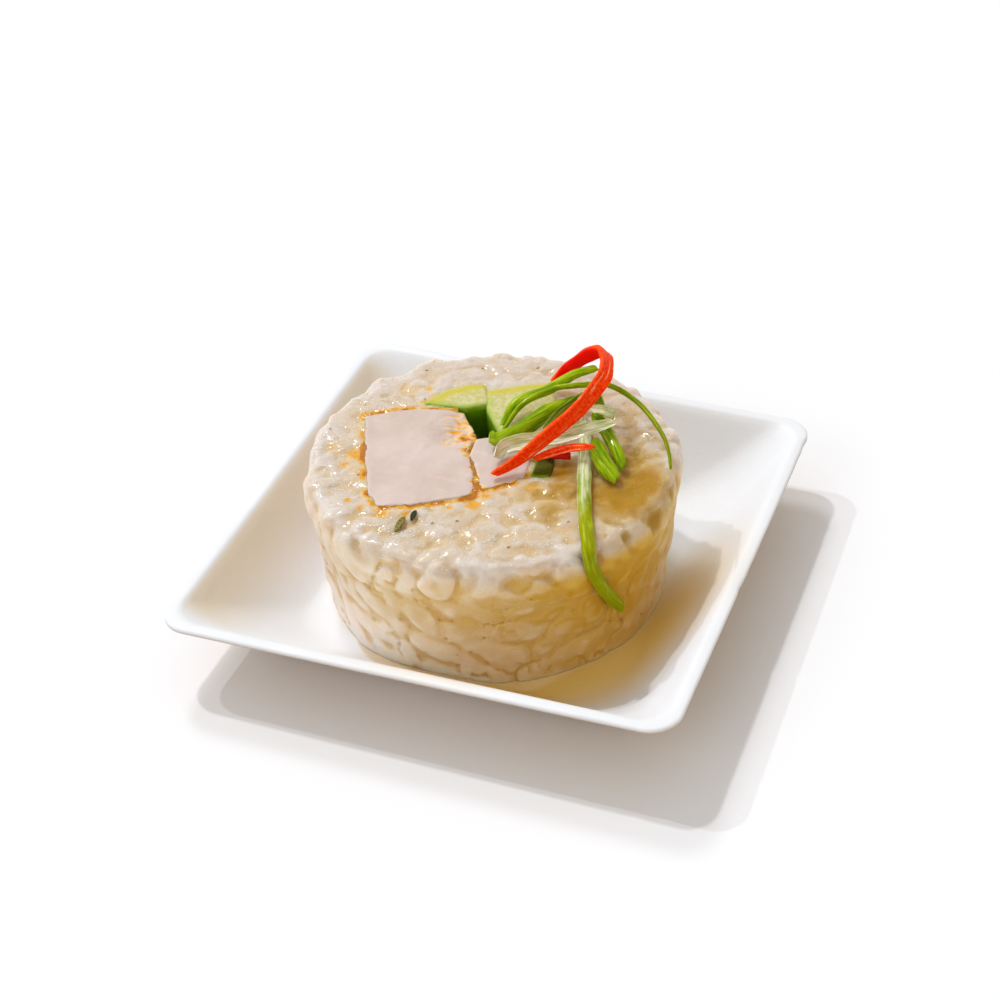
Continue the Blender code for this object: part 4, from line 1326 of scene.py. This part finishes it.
def tearMeat(mesh, spec, points, walls):
    # torn fibres on the meat's cut face, and the layers that brown them
    t = tearing
    onTop = np.clip((points[:, 2] - t["topFrom"]) / t["topOver"], 0, 1)
    brown = spotLayer(points, spec["spots"])
    streaks = fibreWaves(points, *t["fibre"], 3) * t["fibreShare"]
    streaks += waves(points * mm, t["lumpSpan"], 9) * t["lumpShare"]
    torn = np.clip(brown * 1.6, 0, 1) * onTop
    points[:, 2] += np.minimum(t["liftMost"], streaks * t["lift"] - t["level"]) * spec["fibre"] * torn
    inwards = np.clip(streaks * 2.2, 0, 1) * np.clip(brown * 1.5 - 0.5, 0, 1)
    inwards *= (walls < t["wallReach"]) * spec["fibre"] * t["inwards"]
    points[:, :2] -= np.array(t["run"]) * inwards[:, None]
    streaked = np.clip(0.6 - streaks * 2.4, 0, 1.4)
    addLayer(mesh, "brown", brown * np.where(brown < 0.85, streaked, 1.0))
    lined = 0.35 + 0.65 * np.clip(spotLayer(points, seepage["line"]), 0, 1)
    top, fade = t["brownTop"]
    addLayer(mesh, "wall", np.clip((top - points[:, 2]) / fade, 0, 1) * (walls < t["brownWall"]) * lined)
    writePoints(mesh, points * mm)


def markCucumber(mesh, spec, points):
    # how far each point is from the peel and the seeds, and how deep it lies in the hollow, where it is
    # painted darker as shade
    inHollow = insideOutline(points, growOutline(hollow, sunken["reach"])) & (points[:, 2] < sunken["below"])
    addLayer(mesh, "skin", lineDistance(points, spec["skin"]))
    addLayer(mesh, "far", lineDistance(points, spec["far"]))
    addLayer(mesh, "paintedDim", np.full(len(points), spec["paintedDim"]))
    addLayer(mesh, "sunk", inHollow * np.clip((sunken["from"] - points[:, 2]) / sunken["over"], 0, 1))


def makeFillings():
    finishes = {"chicken": chickenMaterial(), "cucumber": cucumberMaterial()}
    for number, (node, spec) in enumerate(fillings.items()):
        mesh = copyOf(node, node + "_cut")
        growInPlan(mesh, spec["grow"])
        piece = addObject(node + "_cut", mesh, finishes[spec["slot"]])
        fuse(piece, spec["voxel"], 1)
        roughen(piece.data, spec["relief"], 30 + number)
        points = readPoints(piece.data) / mm
        if spec["slot"] == "chicken":
            tearMeat(piece.data, spec, points, wallDistance(points * mm, [node]))
        else:
            markCucumber(piece.data, spec, points)
        piece.data.shade_smooth()
        setIn(piece, spec["slot"], node)
        print(node, "made,", len(piece.data.polygons), "faces")


# Garnish strips. Lean 0 lays the broad face up, lean 1 turns it to the right of the run, in even steps
# along the strip. Trough is the dip of the cross section, or its hump below 0. Ends are the widths left at
# the tips. Pale goes from green at 0 to white at 1, deep to the dark tone of painted shade and gold to the
# painted golden light thrown back from the rice, from the start to the end. Slim is the width left at the
# end, and slant is how far the two cuts are off square. Points are in millimetres.

strips = {
    "scallion_arc": {
        "width": 1.05, "thick": 0.45, "lean": (0.3, 0.5, 0.5), "trough": -0.25, "ends": (0.5, 0.5),
        "pale": (0.25, -0.1), "deep": (0.0, 0.9), "paintedBounceLight": (0.0, 0.6), "slim": 0.6, "slant": (0.4, 0.8),
        "points": [
            (-0.3, 3.6, 25.9), (1.0, 8.0, 27.6), (4.4, 11.4, 29.0), (9.2, 12.7, 30.0), (13.4, 13.8, 30.0),
            (18.5, 12.6, 28.4), (23.0, 9.2, 26.4), (25.2, 5.9, 25.5), (26.7, 2.2, 25.2)]},
    "scallion_upper": {
        "width": 1.9, "thick": 0.4, "lean": (0.6, 0.35, 0.2, 0.35), "trough": -0.3, "ends": (0.4, 0.5),
        "pale": (0.25, 0.0), "deep": (0.0, 0.1), "slim": 1.0, "slant": (0.5, 0.6), "points": [
            (-1.1, 4.9, 25.5), (-0.3, 10.2, 26.6), (3.4, 12.9, 27.9), (5.3, 14.2, 29.0), (7.3, 15.6, 30.0),
            (10.2, 17.0, 30.7)]},
    "scallion_leaf": {
        "width": 2.7, "thick": 0.4, "lean": (0.7, 0.35, 0.6, 0.3), "trough": -0.4, "ends": (0.35, 0.5),
        "pale": (0.05, 0.2), "deep": (0.25, 0.15), "slim": 0.9, "slant": (0.3, 0.5), "points": [
            (-1.5, 1.3, 26.3), (-0.6, 0.2, 25.9), (2.7, 4.2, 26.3), (5.8, 9.3, 27.0), (8.2, 12.6, 27.4)]},
    "scallion_curl": {
        "width": 1.9, "thick": 0.4, "lean": (0.4, 0.7, 0.5), "trough": 0.4, "ends": (0.5, 0.6),
        "pale": (0.2, 0.0), "deep": (0.1, 0.8), "slim": 1.0, "slant": (0.4, 0.4), "points": [
            (6.2, 4.2, 26.7), (8.0, 8.6, 28.0), (10.2, 11.4, 28.7), (12.1, 11.9, 28.6), (13.2, 10.6, 27.4)]},
    "scallion_pale": {
        "width": 2.8, "thick": 0.45, "lean": (0.55, 0.35, 0.5, 0.45), "trough": 0.35, "ends": (0.6, 0.3),
        "pale": (1.25, 0.45), "deep": (0.0, 0.2), "slim": 0.8, "slant": (0.5, 0.6), "points": [
            (1.2, -3.2, 25.4), (1.4, -1.3, 26.0), (3.6, 0.4, 26.2), (6.6, 1.6, 26.5), (9.8, 2.8, 27.3),
            (13.2, 4.2, 28.3), (16.8, 5.8, 29.0)]},
    "scallion_frill": {
        "width": 1.6, "thick": 0.4, "lean": (0.3,), "trough": 0.3, "ends": (0.5, 1.0),
        "pale": (0.8, 0.3), "deep": (0.1, 0.1), "slim": 1.0, "slant": (0.2, 0.3), "points": [
            (12.2, 8.2, 28.9), (13.9, 8.4, 29.0), (16.0, 7.9, 28.9)]},
    "scallion_right": {
        "width": 2.1, "thick": 0.4, "lean": (0.45, 0.1, 0.3), "trough": -0.3, "ends": (0.7, 0.35),
        "pale": (0.0, 0.1), "deep": (0.5, 0.2), "slim": 0.9, "slant": (0.3, 0.7), "points": [
            (12.3, 9.2, 27.6), (14.7, 6.9, 27.1), (17.4, 3.6, 26.5), (20.1, -0.2, 25.5)]},
    "scallion_short": {
        "width": 2.7, "thick": 0.45, "lean": (0.45, 0.2, 0.3), "trough": -0.35, "ends": (0.6, 0.45),
        "pale": (0.1, 0.15), "deep": (0.35, 0.2), "slim": 1.0, "slant": (0.3, 0.5), "points": [
            (14.4, 2.9, 27.1), (15.6, 1.1, 26.8), (17.4, -0.9, 26.2), (20.0, -3.1, 25.4)]},
    "scallion_long": {
        "width": 2.15, "thick": 0.5, "lean": (0.0,), "trough": -0.25, "ends": (0.7, 0.85),
        "pale": (0.9, 0.85, 0.45, 0.1, 0.0, 0.0), "deep": (0.0, 0.1), "paintedBounceLight": (0.0, 0.2, 0.9, 1.0, 0.9),
        "slim": 0.95, "slant": (0.3, 0.5), "points": [
            (10.6, 9.4, 25.8), (11.6, 7.0, 25.6), (13.3, 1.9, 25.4), (15.5, -4.8, 25.3), (17.5, -10.6, 25.3),
            (19.8, -16.2, 25.3), (21.5, -20.0, 24.4), (21.9, -19.4, 20.9), (22.7, -17.6, 16.6),
            (23.5, -15.7, 13.2), (24.2, -13.8, 10.4)]},
    "chili_loop": {
        "width": 2.4, "thick": 1.15, "lean": (0.8, 0.8, 0.75, 0.45, 0.5, 1.05, 1.15), "trough": 0.1,
        "ends": (0.3, 0.6), "pale": (0.15, 0.0), "deep": (0.0, 0.0), "slim": 1.0, "slant": (0.9, 0.3),
        "points": [
            (2.0, -7.2, 25.2), (4.9, -4.0, 26.4), (8.2, -0.3, 29.0), (11.3, 3.9, 31.2), (13.2, 9.8, 33.0),
            (13.0, 13.3, 33.55), (11.3, 17.2, 33.5), (8.8, 18.3, 32.1), (6.3, 18.7, 29.8), (4.2, 19.2, 27.5),
            (2.6, 17.9, 25.5)]},
    "chili_short": {
        "width": 1.35, "thick": 0.55, "lean": (0.5,), "trough": 0.1, "ends": (0.5, 0.15),
        "pale": (0.0, 0.0, 0.2), "deep": (0.0, 0.0), "slim": 0.9, "slant": (0.4, 0.8), "points": [
            (6.9, -2.7, 26.0), (8.5, -1.4, 26.3), (10.3, -0.4, 26.8), (12.6, -0.1, 27.6), (15.7, -0.3, 28.5)
        ]},
    "chili_stub": {
        "width": 1.2, "thick": 0.5, "lean": (0.4,), "trough": 0.1, "ends": (0.6, 1.0),
        "pale": (0.0, 0.0), "deep": (0.9, 0.9), "slim": 1.0, "slant": (0.2, 0.1), "points": [
            (7.6, -0.2, 25.3), (9.5, 0.1, 25.3), (11.5, 0.5, 25.3)]},
}
stripForm = {
    "step": 0.45, "around": 20, "taper": 0.28, "tipThick": 0.55, "overEdge": 25.2, "overEdgeDrop": 2.5,
    "widthNoise": 0.09, "edgeNoise": 0.05, "jag": 0.18, "twist": 0.12, "ridge": 0.05, "square": (0.62, 0.45),
}


def curveThrough(points, step):
    padded = [points[0] * 2 - points[1]] + points + [points[-1] * 2 - points[-2]]
    samples = []
    for a, b, c, d in zip(padded, padded[1:], padded[2:], padded[3:]):
        count = max(1, round((c - b).length / step))
        for i in range(count):
            t = i / count
            samples.append(0.5 * (2 * b + (c - a) * t + (2 * a - 5 * b + 4 * c - d) * t * t
                                  + (3 * b - a - 3 * c + d) * t ** 3))
    samples.append(points[-1].copy())
    return samples


def stripFacing(at, run, lean):
    # past the disc's edge the strip's broad face looks straight outwards
    facing = Vector((0, 0, 1)) * (1 - lean) + run.cross(Vector((0, 0, 1))) * lean
    outward = Vector((at.x - riceShape["centre"][0], at.y - riceShape["centre"][1], 0))
    over = min(1, max(0, (stripForm["overEdge"] - at.z) / stripForm["overEdgeDrop"]))
    if outward.length > riceShape["baseRadius"]:
        facing = facing * (1 - over) + outward.normalized() * over
    return (facing - run * facing.dot(run)).normalized()


def stripSection(around):
    # a flat section with round edges, as shares of half the width and half the thickness
    wide, thick = stripForm["square"]
    angles = [2 * math.pi * (k + 0.5) / around for k in range(around)]
    return [(squared(math.cos(angle), wide), squared(math.sin(angle), thick)) for angle in angles]


def stripMesh(name, spec, seed):
    form = stripForm
    path = curveThrough([Vector(p) for p in spec["points"]], form["step"])
    count = len(path) - 1
    section = stripSection(form["around"])
    points, flow, ends = [], [], []
    run = 0.0
    for i, at in enumerate(path):
        heading = (path[min(i + 1, count)] - path[max(i - 1, 0)]).normalized()
        t = i / count
        lean = float(np.interp(t, np.linspace(0, 1, len(spec["lean"])), spec["lean"]))
        up = stripFacing(at, heading, lean + form["twist"] * noise(Vector((run / 3.5, 0, seed))))
        side = heading.cross(up)
        tips = zip(spec["ends"], (t, 1 - t))
        share = min(1, *(end + (1 - end) * math.sqrt(way / form["taper"]) for end, way in tips))
        share *= 1 + (spec["slim"] - 1) * t
        half = 0.5 * spec["width"] * share * (1 + form["widthNoise"] * noise(Vector((run / 2.5, seed, 0))))
        body = 0.5 * spec["thick"] * (form["tipThick"] + (1 - form["tipThick"]) * share)
        rise = spec["trough"] * half
        for u, v in section:
            wobble = 1 + form["edgeNoise"] * noise(Vector((run / 0.9, seed + u * 2, v)))
            ridge = form["ridge"] * noise(Vector((u * 4.5, run / 6, seed))) * abs(v)
            lift = rise * (2 * u * u - 1) + body * v * wobble + ridge * spec["width"]
            cut = 0.0
            if i in (0, count):
                slant = spec["slant"][0 if i == 0 else 1] * half * u
                cut = slant + form["jag"] * noise(Vector((u * 4, seed, i)))
            points.append(at + side * half * u * wobble + up * lift + heading * cut)
            flow.append((u * half, run, seed * 3.7))
            ends.append((t, u, v))
        if i < count:
            run += (path[i + 1] - at).length
    around = form["around"]
    faces = []
    for i in range(count):
        for k in range(around):
            n = (k + 1) % around
            a, b = i * around, (i + 1) * around
            faces.append((a + k, a + n, b + n, b + k))
    for ring, turn in ((0, 1), (count, -1)):  # close each tip with a small fan round its middle
        first = ring * around
        points.append(sum((points[first + k] for k in range(around)), Vector()) / around)
        flow.append((0, run * (ring > 0), seed * 3.7))
        ends.append((ring / count, 0, 0))
        for k in range(around):
            n = (k + 1) % around
            faces.append((first + n, first + k, len(points) - 1)[::turn])
    mesh = makeMesh(name, np.array(points) * mm, faces)
    if signedVolume(mesh) < 0:
        mesh = makeMesh(name, np.array(points) * mm, [face[::-1] for face in faces])
    t, u, v = np.array(ends).T
    addLayer(mesh, "flow", np.array(flow) * mm)
    for layer, key in (("pale", "pale"), ("paintedShadeTone", "deep"), ("paintedBounceLight", "paintedBounceLight")):
        steps = spec.get(key, (0, 0))
        addLayer(mesh, layer, np.interp(t, np.linspace(0, 1, len(steps)), steps))
    addLayer(mesh, "across", np.abs(u))
    # 1 on the skin side, which is the one that humps, and 0 on the cut side
    skinSide = v if spec["trough"] > 0 and name.startswith("chili") else -v * np.sign(spec["trough"])
    addLayer(mesh, "skinSide", np.clip(skinSide * 0.5 + 0.5, 0, 1))
    return mesh


def signedVolume(mesh):
    mesh.calc_loop_triangles()
    points = readPoints(mesh)
    corners = np.array([t.vertices for t in mesh.loop_triangles])
    a, b, c = points[corners[:, 0]], points[corners[:, 1]], points[corners[:, 2]]
    return float(np.einsum("ij,ij->i", a, np.cross(b, c)).sum())


scallionTones = {
    # the deep tone is painted shade and the gold tone painted golden light thrown back from the rice
    "low": (0.16, 0.29, 0.0005), "high": (0.36, 0.49, 0.002), "deep": (0.06, 0.11, 0.0005),
    "paintedBounceLight": (0.30, 0.29, 0.001), "vein": (0.52, 0.68, 0.02), "groove": (0.07, 0.17, 0.001),
    "white": (0.52, 0.57, 0.20), "whiteVein": (0.88, 0.86, 0.74),
}
chiliTones = {
    # the shine tone is a painted highlight and the deep tone painted shade
    "low": (0.90, 0.010, 0.0005), "high": (0.98, 0.075, 0.002), "streak": (0.97, 0.18, 0.02),
    "paintedHighlight": (0.98, 0.55, 0.30), "edge": (0.90, 0.14, 0.012), "pale": (0.92, 0.13, 0.005),
    "inside": (0.90, 0.002, 0.0005), "deep": (0.36, 0.004, 0.001),
}
shredWet = {"Specular IOR Level": 0.04, "Coat IOR": 1.36, "Subsurface Scale": 0.0008}
shredLayers = ("pale", "paintedShadeTone", "paintedBounceLight", "across", "skinSide")


def shredFlow(paint, span, along, detail=3, rough=0.6):
    # noise drawn out along the shred
    return paint.cloud(span, detail, rough, paint.stretch(paint.layer("flow", "Vector"), (1.0, along, 1.0)))


def scallionMaterial():
    paint = surface("springOnion", {
        **shredWet, "Subsurface Weight": 0.3, "Subsurface Radius": (0.5, 1.0, 0.15), "Coat Roughness": 0.1,
    })
    tones = scallionTones
    pale, paintedShadeTone, paintedBounceLight, across, skinSide = (paint.layer(name) for name in shredLayers)
    veins = shredFlow(paint, 0.22, 0.06, rough=0.65)
    bands = shredFlow(paint, 0.55, 0.10, 2, 0.5)
    blotch = shredFlow(paint, 1.4, 0.35)
    green = paint.coats(
        paint.mix((blotch * 0.4 + bands * 0.6).rise(0.42, 0.58), tones["low"], tones["high"]),
        # painted shade along parts of the strip
        (paintedShadeTone * (0.6 + blotch * 0.4), tones["deep"]),
        # painted golden light thrown back from the rice
        (paintedBounceLight * 0.8, tones["paintedBounceLight"]),
        (veins.rise(0.52, 0.68) * 0.5, tones["vein"]),
        ((1 - veins).rise(0.55, 0.72) * (0.4 - paintedBounceLight * 0.25), tones["groove"]),
    )
    white = paint.mix(veins.rise(0.4, 0.6), tones["white"], tones["whiteVein"])
    cutEdge = across.rise(0.8, 0.98) * 0.2
    cutSide = (1 - skinSide).rise(0.5, 0.9) * 0.25
    washed = pale * (1.2 - across * 0.6) + (blotch - 0.5) * 0.6 + cutSide + cutEdge
    return paint.finish({
        "Base Color": paint.mix(washed.rise(0.25, 0.8), green, white),
        "Roughness": 0.45 + veins * 0.2,
        "Coat Weight": (blotch * 0.45 + veins * 0.55).rise(0.53, 0.6) * 0.9,
        "Normal": paint.bump(veins * 0.6 + bands * 0.4, 0.12),
    })


def chiliMaterial():
    paint = surface("redChili", {
        **shredWet, "Subsurface Weight": 0.25, "Subsurface Radius": (1.0, 0.12, 0.04), "Coat Roughness": 0.06,
    })
    tones = chiliTones
    pale, paintedShadeTone, across, skinSide = (paint.layer(name) for name in shredLayers if name != "paintedBounceLight")
    streaks = shredFlow(paint, 0.32, 0.07)
    mottle = shredFlow(paint, 0.5, 1.0, rough=0.65)
    colour = paint.coats(
        paint.mix(mottle.rise(0.35, 0.65), tones["low"], tones["high"]),
        (streaks.rise(0.54, 0.68) * 0.5, tones["streak"]),
        # painted highlight: pale streaks where the wet skin catches the light
        ((streaks * 0.8 + mottle * 0.2).rise(0.6, 0.68) * 0.5, tones["paintedHighlight"]),
        (across ** 6 * 0.3, tones["edge"]),
        (pale * 0.4, tones["pale"]),
        ((1 - skinSide).rise(0.6, 0.95) * 0.95, tones["inside"]),
        # painted shade along parts of the strip
        (paintedShadeTone, tones["deep"]),
    )
    return paint.finish({
        "Base Color": colour,
        "Roughness": 0.34 + mottle * 0.15,
        "Coat Weight": (streaks * 0.6 + mottle * 0.4).rise(0.54, 0.62) * 0.5 * skinSide.rise(0.3, 0.6),
        "Normal": paint.bump(streaks * 0.6 + mottle * 0.4, 0.10),
    })


def makeStrips():
    made = []
    finishes = {"scallion": scallionMaterial(), "chili": chiliMaterial()}
    for number, (node, spec) in enumerate(strips.items()):
        slot = node.split("_")[0]
        mesh = stripMesh(node + "_shred", spec, number + 1)
        piece = addObject(node + "_shred", mesh, finishes[slot])
        mesh.shade_smooth()
        mesh.set_sharp_from_angle(angle=math.radians(70))
        setIn(piece, slot, node)
        made.append(piece)
    print(len(strips), "garnish strips made")
    return made


def shadeRice(rice, shreds):
    # painted shadow: where the garnish keeps the window's light off the rice's top, the rice is painted
    # darker and warmer
    points, faces = [], []
    for shred in shreds:
        faces += [tuple(v + len(points) for v in f.vertices) for f in shred.data.polygons]
        points += [v.co for v in shred.data.vertices]
    tree = BVHTree.FromPolygons(points, faces)
    towards = -lightTravel(*lighting["suns"]["windowLight"][:2])
    shade = np.zeros(len(rice.data.vertices))
    for v in rice.data.vertices:
        if v.co.z > riceShape["shadeAbove"] * mm and tree.ray_cast(v.co + towards * 0.1 * mm, towards)[0]:
            shade[v.index] = 1
    addLayer(rice.data, "shade", evened(rice.data, shade, riceShape["shadeSoften"]))


# Small things that lie on the rice

smallThings = {
    # each leaf of herb: x and y of its place, heading in degrees, length, width, and how dark
    "herbs": (
        (-5.9, -19.3, 97, 2.4, 0.8, 0.95), (-7.0, -21.7, 90, 3.3, 0.95, 0.3),
        (-6.8, -23.0, 60, 1.3, 0.6, 0.2),
    ),
    "leafSteps": 9, "leafLanes": 5, "leafThick": 0.18, "leafLift": 0.3,
    "herbTones": ((0.20, 0.15, 0.012), (0.36, 0.31, 0.06)), "herbDark": (0.012, 0.018, 0.004),
    "specks": 34, "speckSize": (0.22, 0.5), "speckForm": (0.6, (0.3, 0.5), 0.22),
    "specksOnSide": 0.6, "speckHeights": (2.5, 21), "speckRadii": (17, 27),
    "speckTones": ((0.30, 0.13, 0.02), (0.46, 0.25, 0.05)),
    "beads": 900, "beadSize": (0.06, 0.17), "beadWidths": (0.7, 1), "beadHeights": (0.6, 0.9),
    "beadTones": ((0.92, 0.88, 0.84), (0.96, 0.95, 0.93)), "gathered": 0.45, "noBeadsInShadeFrom": 0.4,
    # where the wet beads gather: x, y, reach and share
    "beadSpots": (
        (-25.0, -6.0, 4.0, 3), (-8.5, -22.0, 3.5, 3), (-4.0, -24.0, 5.0, 3), (4.0, -22.0, 5.0, 2),
        (-20.0, -16.0, 4.0, 2), (-24.0, 6.0, 4.0, 2), (-2.0, 23.0, 5.0, 1), (14.0, -20.0, 4.0, 1),
    ),
    "seed": 17,
}


def surfaceTree(obj):
    mesh = obj.data
    return BVHTree.FromPolygons([v.co for v in mesh.vertices], [tuple(f.vertices) for f in mesh.polygons])


def dropOn(tree, x, y):
    # the place on the rice under x, y, with the way that it faces there
    place, facing, _, _ = tree.ray_cast(Vector((x, y, 40)) * mm, Vector((0, 0, -1)))
    return (place, facing) if place and place.z > 20 * mm else (None, None)


def pressOn(tree, angle, z):
    # the place on the rice's side at this heading
    start = discPoint(40, angle, z)
    inward = Vector((-math.cos(angle), -math.sin(angle), 0))
    place, facing, _, _ = tree.ray_cast(start * mm, inward)
    return place, facing


def beadMesh(places):
    # one low dome for each bead, sunk a little into what it lies on
    rings, sides = 4, 8
    unit = [(0, 0, 1)]
    for i in range(1, rings + 1):
        angle = math.pi * 0.62 * i / rings
        for k in range(sides):
            turn = 2 * math.pi * k / sides
            unit.append((math.sin(angle) * math.cos(turn), math.sin(angle) * math.sin(turn), math.cos(angle)))
    unit = np.array(unit)
    points, faces = [], []
    for place, facing, size in places:
        start = len(points) * len(unit)
        along = facing.orthogonal().normalized()
        axes = np.array([along, facing.cross(along), facing])
        points.append((unit * np.array(size) * mm) @ axes + np.array(place - facing * size[2] * 0.1 * mm))
        for k in range(sides):
            n = (k + 1) % sides
            faces.append((start, start + 1 + k, start + 1 + n))
            for i in range(rings - 1):
                a, b = start + 1 + i * sides, start + 1 + (i + 1) * sides
                faces.append((a + k, b + k, b + n, a + n))
        faces.append([start + 1 + (rings - 1) * sides + k for k in range(sides)][::-1])
    return makeMesh("beads", np.concatenate(points), faces)


def setSmall(name, mesh, slot, finish):
    # small things belong to no node, so they only ride along
    piece = addObject(name, mesh, finish)
    piece.data.shade_smooth()
    setIn(piece, slot)


def makeBeads(tree):
    s = smallThings
    draw = random.Random(s["seed"])
    shares = [spot[3] for spot in s["beadSpots"]]
    least, most = s["beadSize"]
    places = []
    while len(places) < s["beads"]:
        if draw.random() < s["gathered"]:
            x, y, reach, _ = draw.choices(s["beadSpots"], shares)[0]
            x, y = x + draw.gauss(0, reach * 0.5), y + draw.gauss(0, reach * 0.5)
        else:
            out = riceShape["topRadius"] * draw.random() ** 0.5
            angle = draw.uniform(-math.pi, math.pi)
            x, y = discPoint(out, angle, 0).xy
        place, facing = dropOn(tree, x, y)
        # no beads where the painted olive shade lies
        if place is None or spotLayer(np.array([(x, y)]), seepage["paintedOliveShade"])[0] > s["noBeadsInShadeFrom"]:
            continue
        size = least + (most - least) * draw.random() ** 3
        span = (size, size * draw.uniform(*s["beadWidths"]), size * draw.uniform(*s["beadHeights"]))
        places.append((place, facing, span))
    # painted glints: the wet beads are near white, so that each also reads as a glint
    paint = surface("wetGlintBeads", {"Specular IOR Level": 1.0})
    drift = paint.cloud(3, 2)
    setSmall("wetGlintBeads", beadMesh(places), "rice", paint.finish({
        "Base Color": paint.mix(drift.rise(0.3, 0.7), *s["beadTones"]),
        "Roughness": 0.25 + drift * 0.1,
    }))
    print(len(places), "wet beads made")


def makeSpecks(tree):
    s = smallThings
    draw = random.Random(s["seed"] + 1)
    wide, across, high = s["speckForm"]
    places = []
    while len(places) < s["specks"]:
        if draw.random() < s["specksOnSide"]:
            place, facing = pressOn(tree, draw.uniform(-math.pi, math.pi), draw.uniform(*s["speckHeights"]))
        else:
            angle = draw.uniform(-math.pi, math.pi)
            spot = discPoint(draw.uniform(*s["speckRadii"]), angle, 0)
            place, facing = dropOn(tree, spot.x, spot.y)
        if place is None:
            continue
        size = draw.uniform(*s["speckSize"])
        places.append((place, facing, (size * wide, size * draw.uniform(*across), size * high)))
    paint = surface("spiceSpecks", {"Specular IOR Level": 0.3})
    fine = paint.cloud(0.4, 3)
    setSmall("spiceSpecks", beadMesh(places), "rice", paint.finish({
        "Base Color": paint.mix(fine.rise(0.35, 0.65), *s["speckTones"]),
        "Roughness": 0.45 + fine * 0.2,
    }))
    print(len(places), "specks made")


def leafMesh(tree):
    # small pointed leaves with a folded midrib, lying on the rice
    form = smallThings
    steps, lanes = form["leafSteps"], form["leafLanes"]
    under = steps * lanes
    points, faces, dark = [], [], []
    for x, y, heading, length, width, tone in form["herbs"]:
        place, facing = dropOn(tree, x, y)
        facing = (facing + Vector((0, 0, 1.5))).normalized()
        turn = Vector((math.cos(math.radians(heading)), math.sin(math.radians(heading)), 0))
        along = (turn - facing * turn.dot(facing)).normalized()
        side = facing.cross(along)
        base = place / mm + facing * form["leafLift"]
        start = len(points)
        for face in (0.5 * form["leafThick"], -0.5 * form["leafThick"]):
            for i in range(steps):
                t = i / (steps - 1)
                half = 0.5 * width * math.sin(math.pi * (0.06 + 0.9 * t)) ** 0.7
                for k in range(lanes):
                    u = 2 * k / (lanes - 1) - 1
                    curl = 0.28 * abs(u) * half + 0.12 * math.sin(4 * t + x)
                    curl += 0.08 * noise(Vector((t * 5, u, x)))
                    lift = facing * (curl + face)
                    points.append(base + along * (t - 0.5) * length + side * u * half + lift)
                    dark.append(tone)
        for first, turned in ((start, 1), (start + under, -1)):
            for i in range(steps - 1):
                for k in range(lanes - 1):
                    a = first + i * lanes + k
                    faces.append((a, a + lanes, a + lanes + 1, a + 1)[::-turned])
        edge = [i * lanes for i in range(steps)]
        edge += [(steps - 1) * lanes + k for k in range(1, lanes)]
        edge += [i * lanes + lanes - 1 for i in range(steps - 2, -1, -1)] + list(range(lanes - 2, 0, -1))
        for a, b in zip(edge, edge[1:] + edge[:1]):
            faces.append((start + b, start + a, start + a + under, start + b + under)[::-1])
    mesh = makeMesh("herbLeaves", np.array(points) * mm, faces)
    addLayer(mesh, "dark", np.array(dark))
    return mesh


def makeHerbs(tree):
    s = smallThings
    paint = surface("driedHerb", {"Specular IOR Level": 0.12, "Coat Roughness": 0.15})
    fine = paint.cloud(0.35, 3, 0.6)
    green = paint.mix(fine.rise(0.35, 0.65), *s["herbTones"])
    setSmall("herbLeaves", leafMesh(tree), "scallion", paint.finish({
        "Base Color": paint.mix(paint.layer("dark"), green, s["herbDark"]),
        "Roughness": 0.4 + fine * 0.2,
        "Coat Weight": fine.rise(0.5, 0.6) * 0.4,
        "Normal": paint.bump(fine, 0.08),
    }))
    print("herb leaves made")


# Floor

def makeFloor():
    corners = np.array([(-1, -1, 0), (1, -1, 0), (1, 1, 0), (-1, 1, 0)])
    mesh = makeMesh("floor", corners * lighting["floorReach"], [(0, 1, 2, 3)])
    paint = surface("paleFloor", {"Roughness": 0.8})
    share = paint.cloud(60, 2) * 0.1
    floor = addObject("floor", mesh, paint.finish({
        "Base Color": paint.mix(share, lighting["floorColour"], lighting["floorFleck"]),
    }))
    floor.location.z = -0.02 * mm


bpy.context.scene.view_settings.view_transform = "Standard"
makeCamera()
makeLights()
makeFloor()
makePlate()
rice = makeRice()
makeFillings()
shadeRice(rice, makeStrips())
riceSurface = surfaceTree(rice)
makeBeads(riceSurface)
makeSpecks(riceSurface)
makeHerbs(riceSurface)
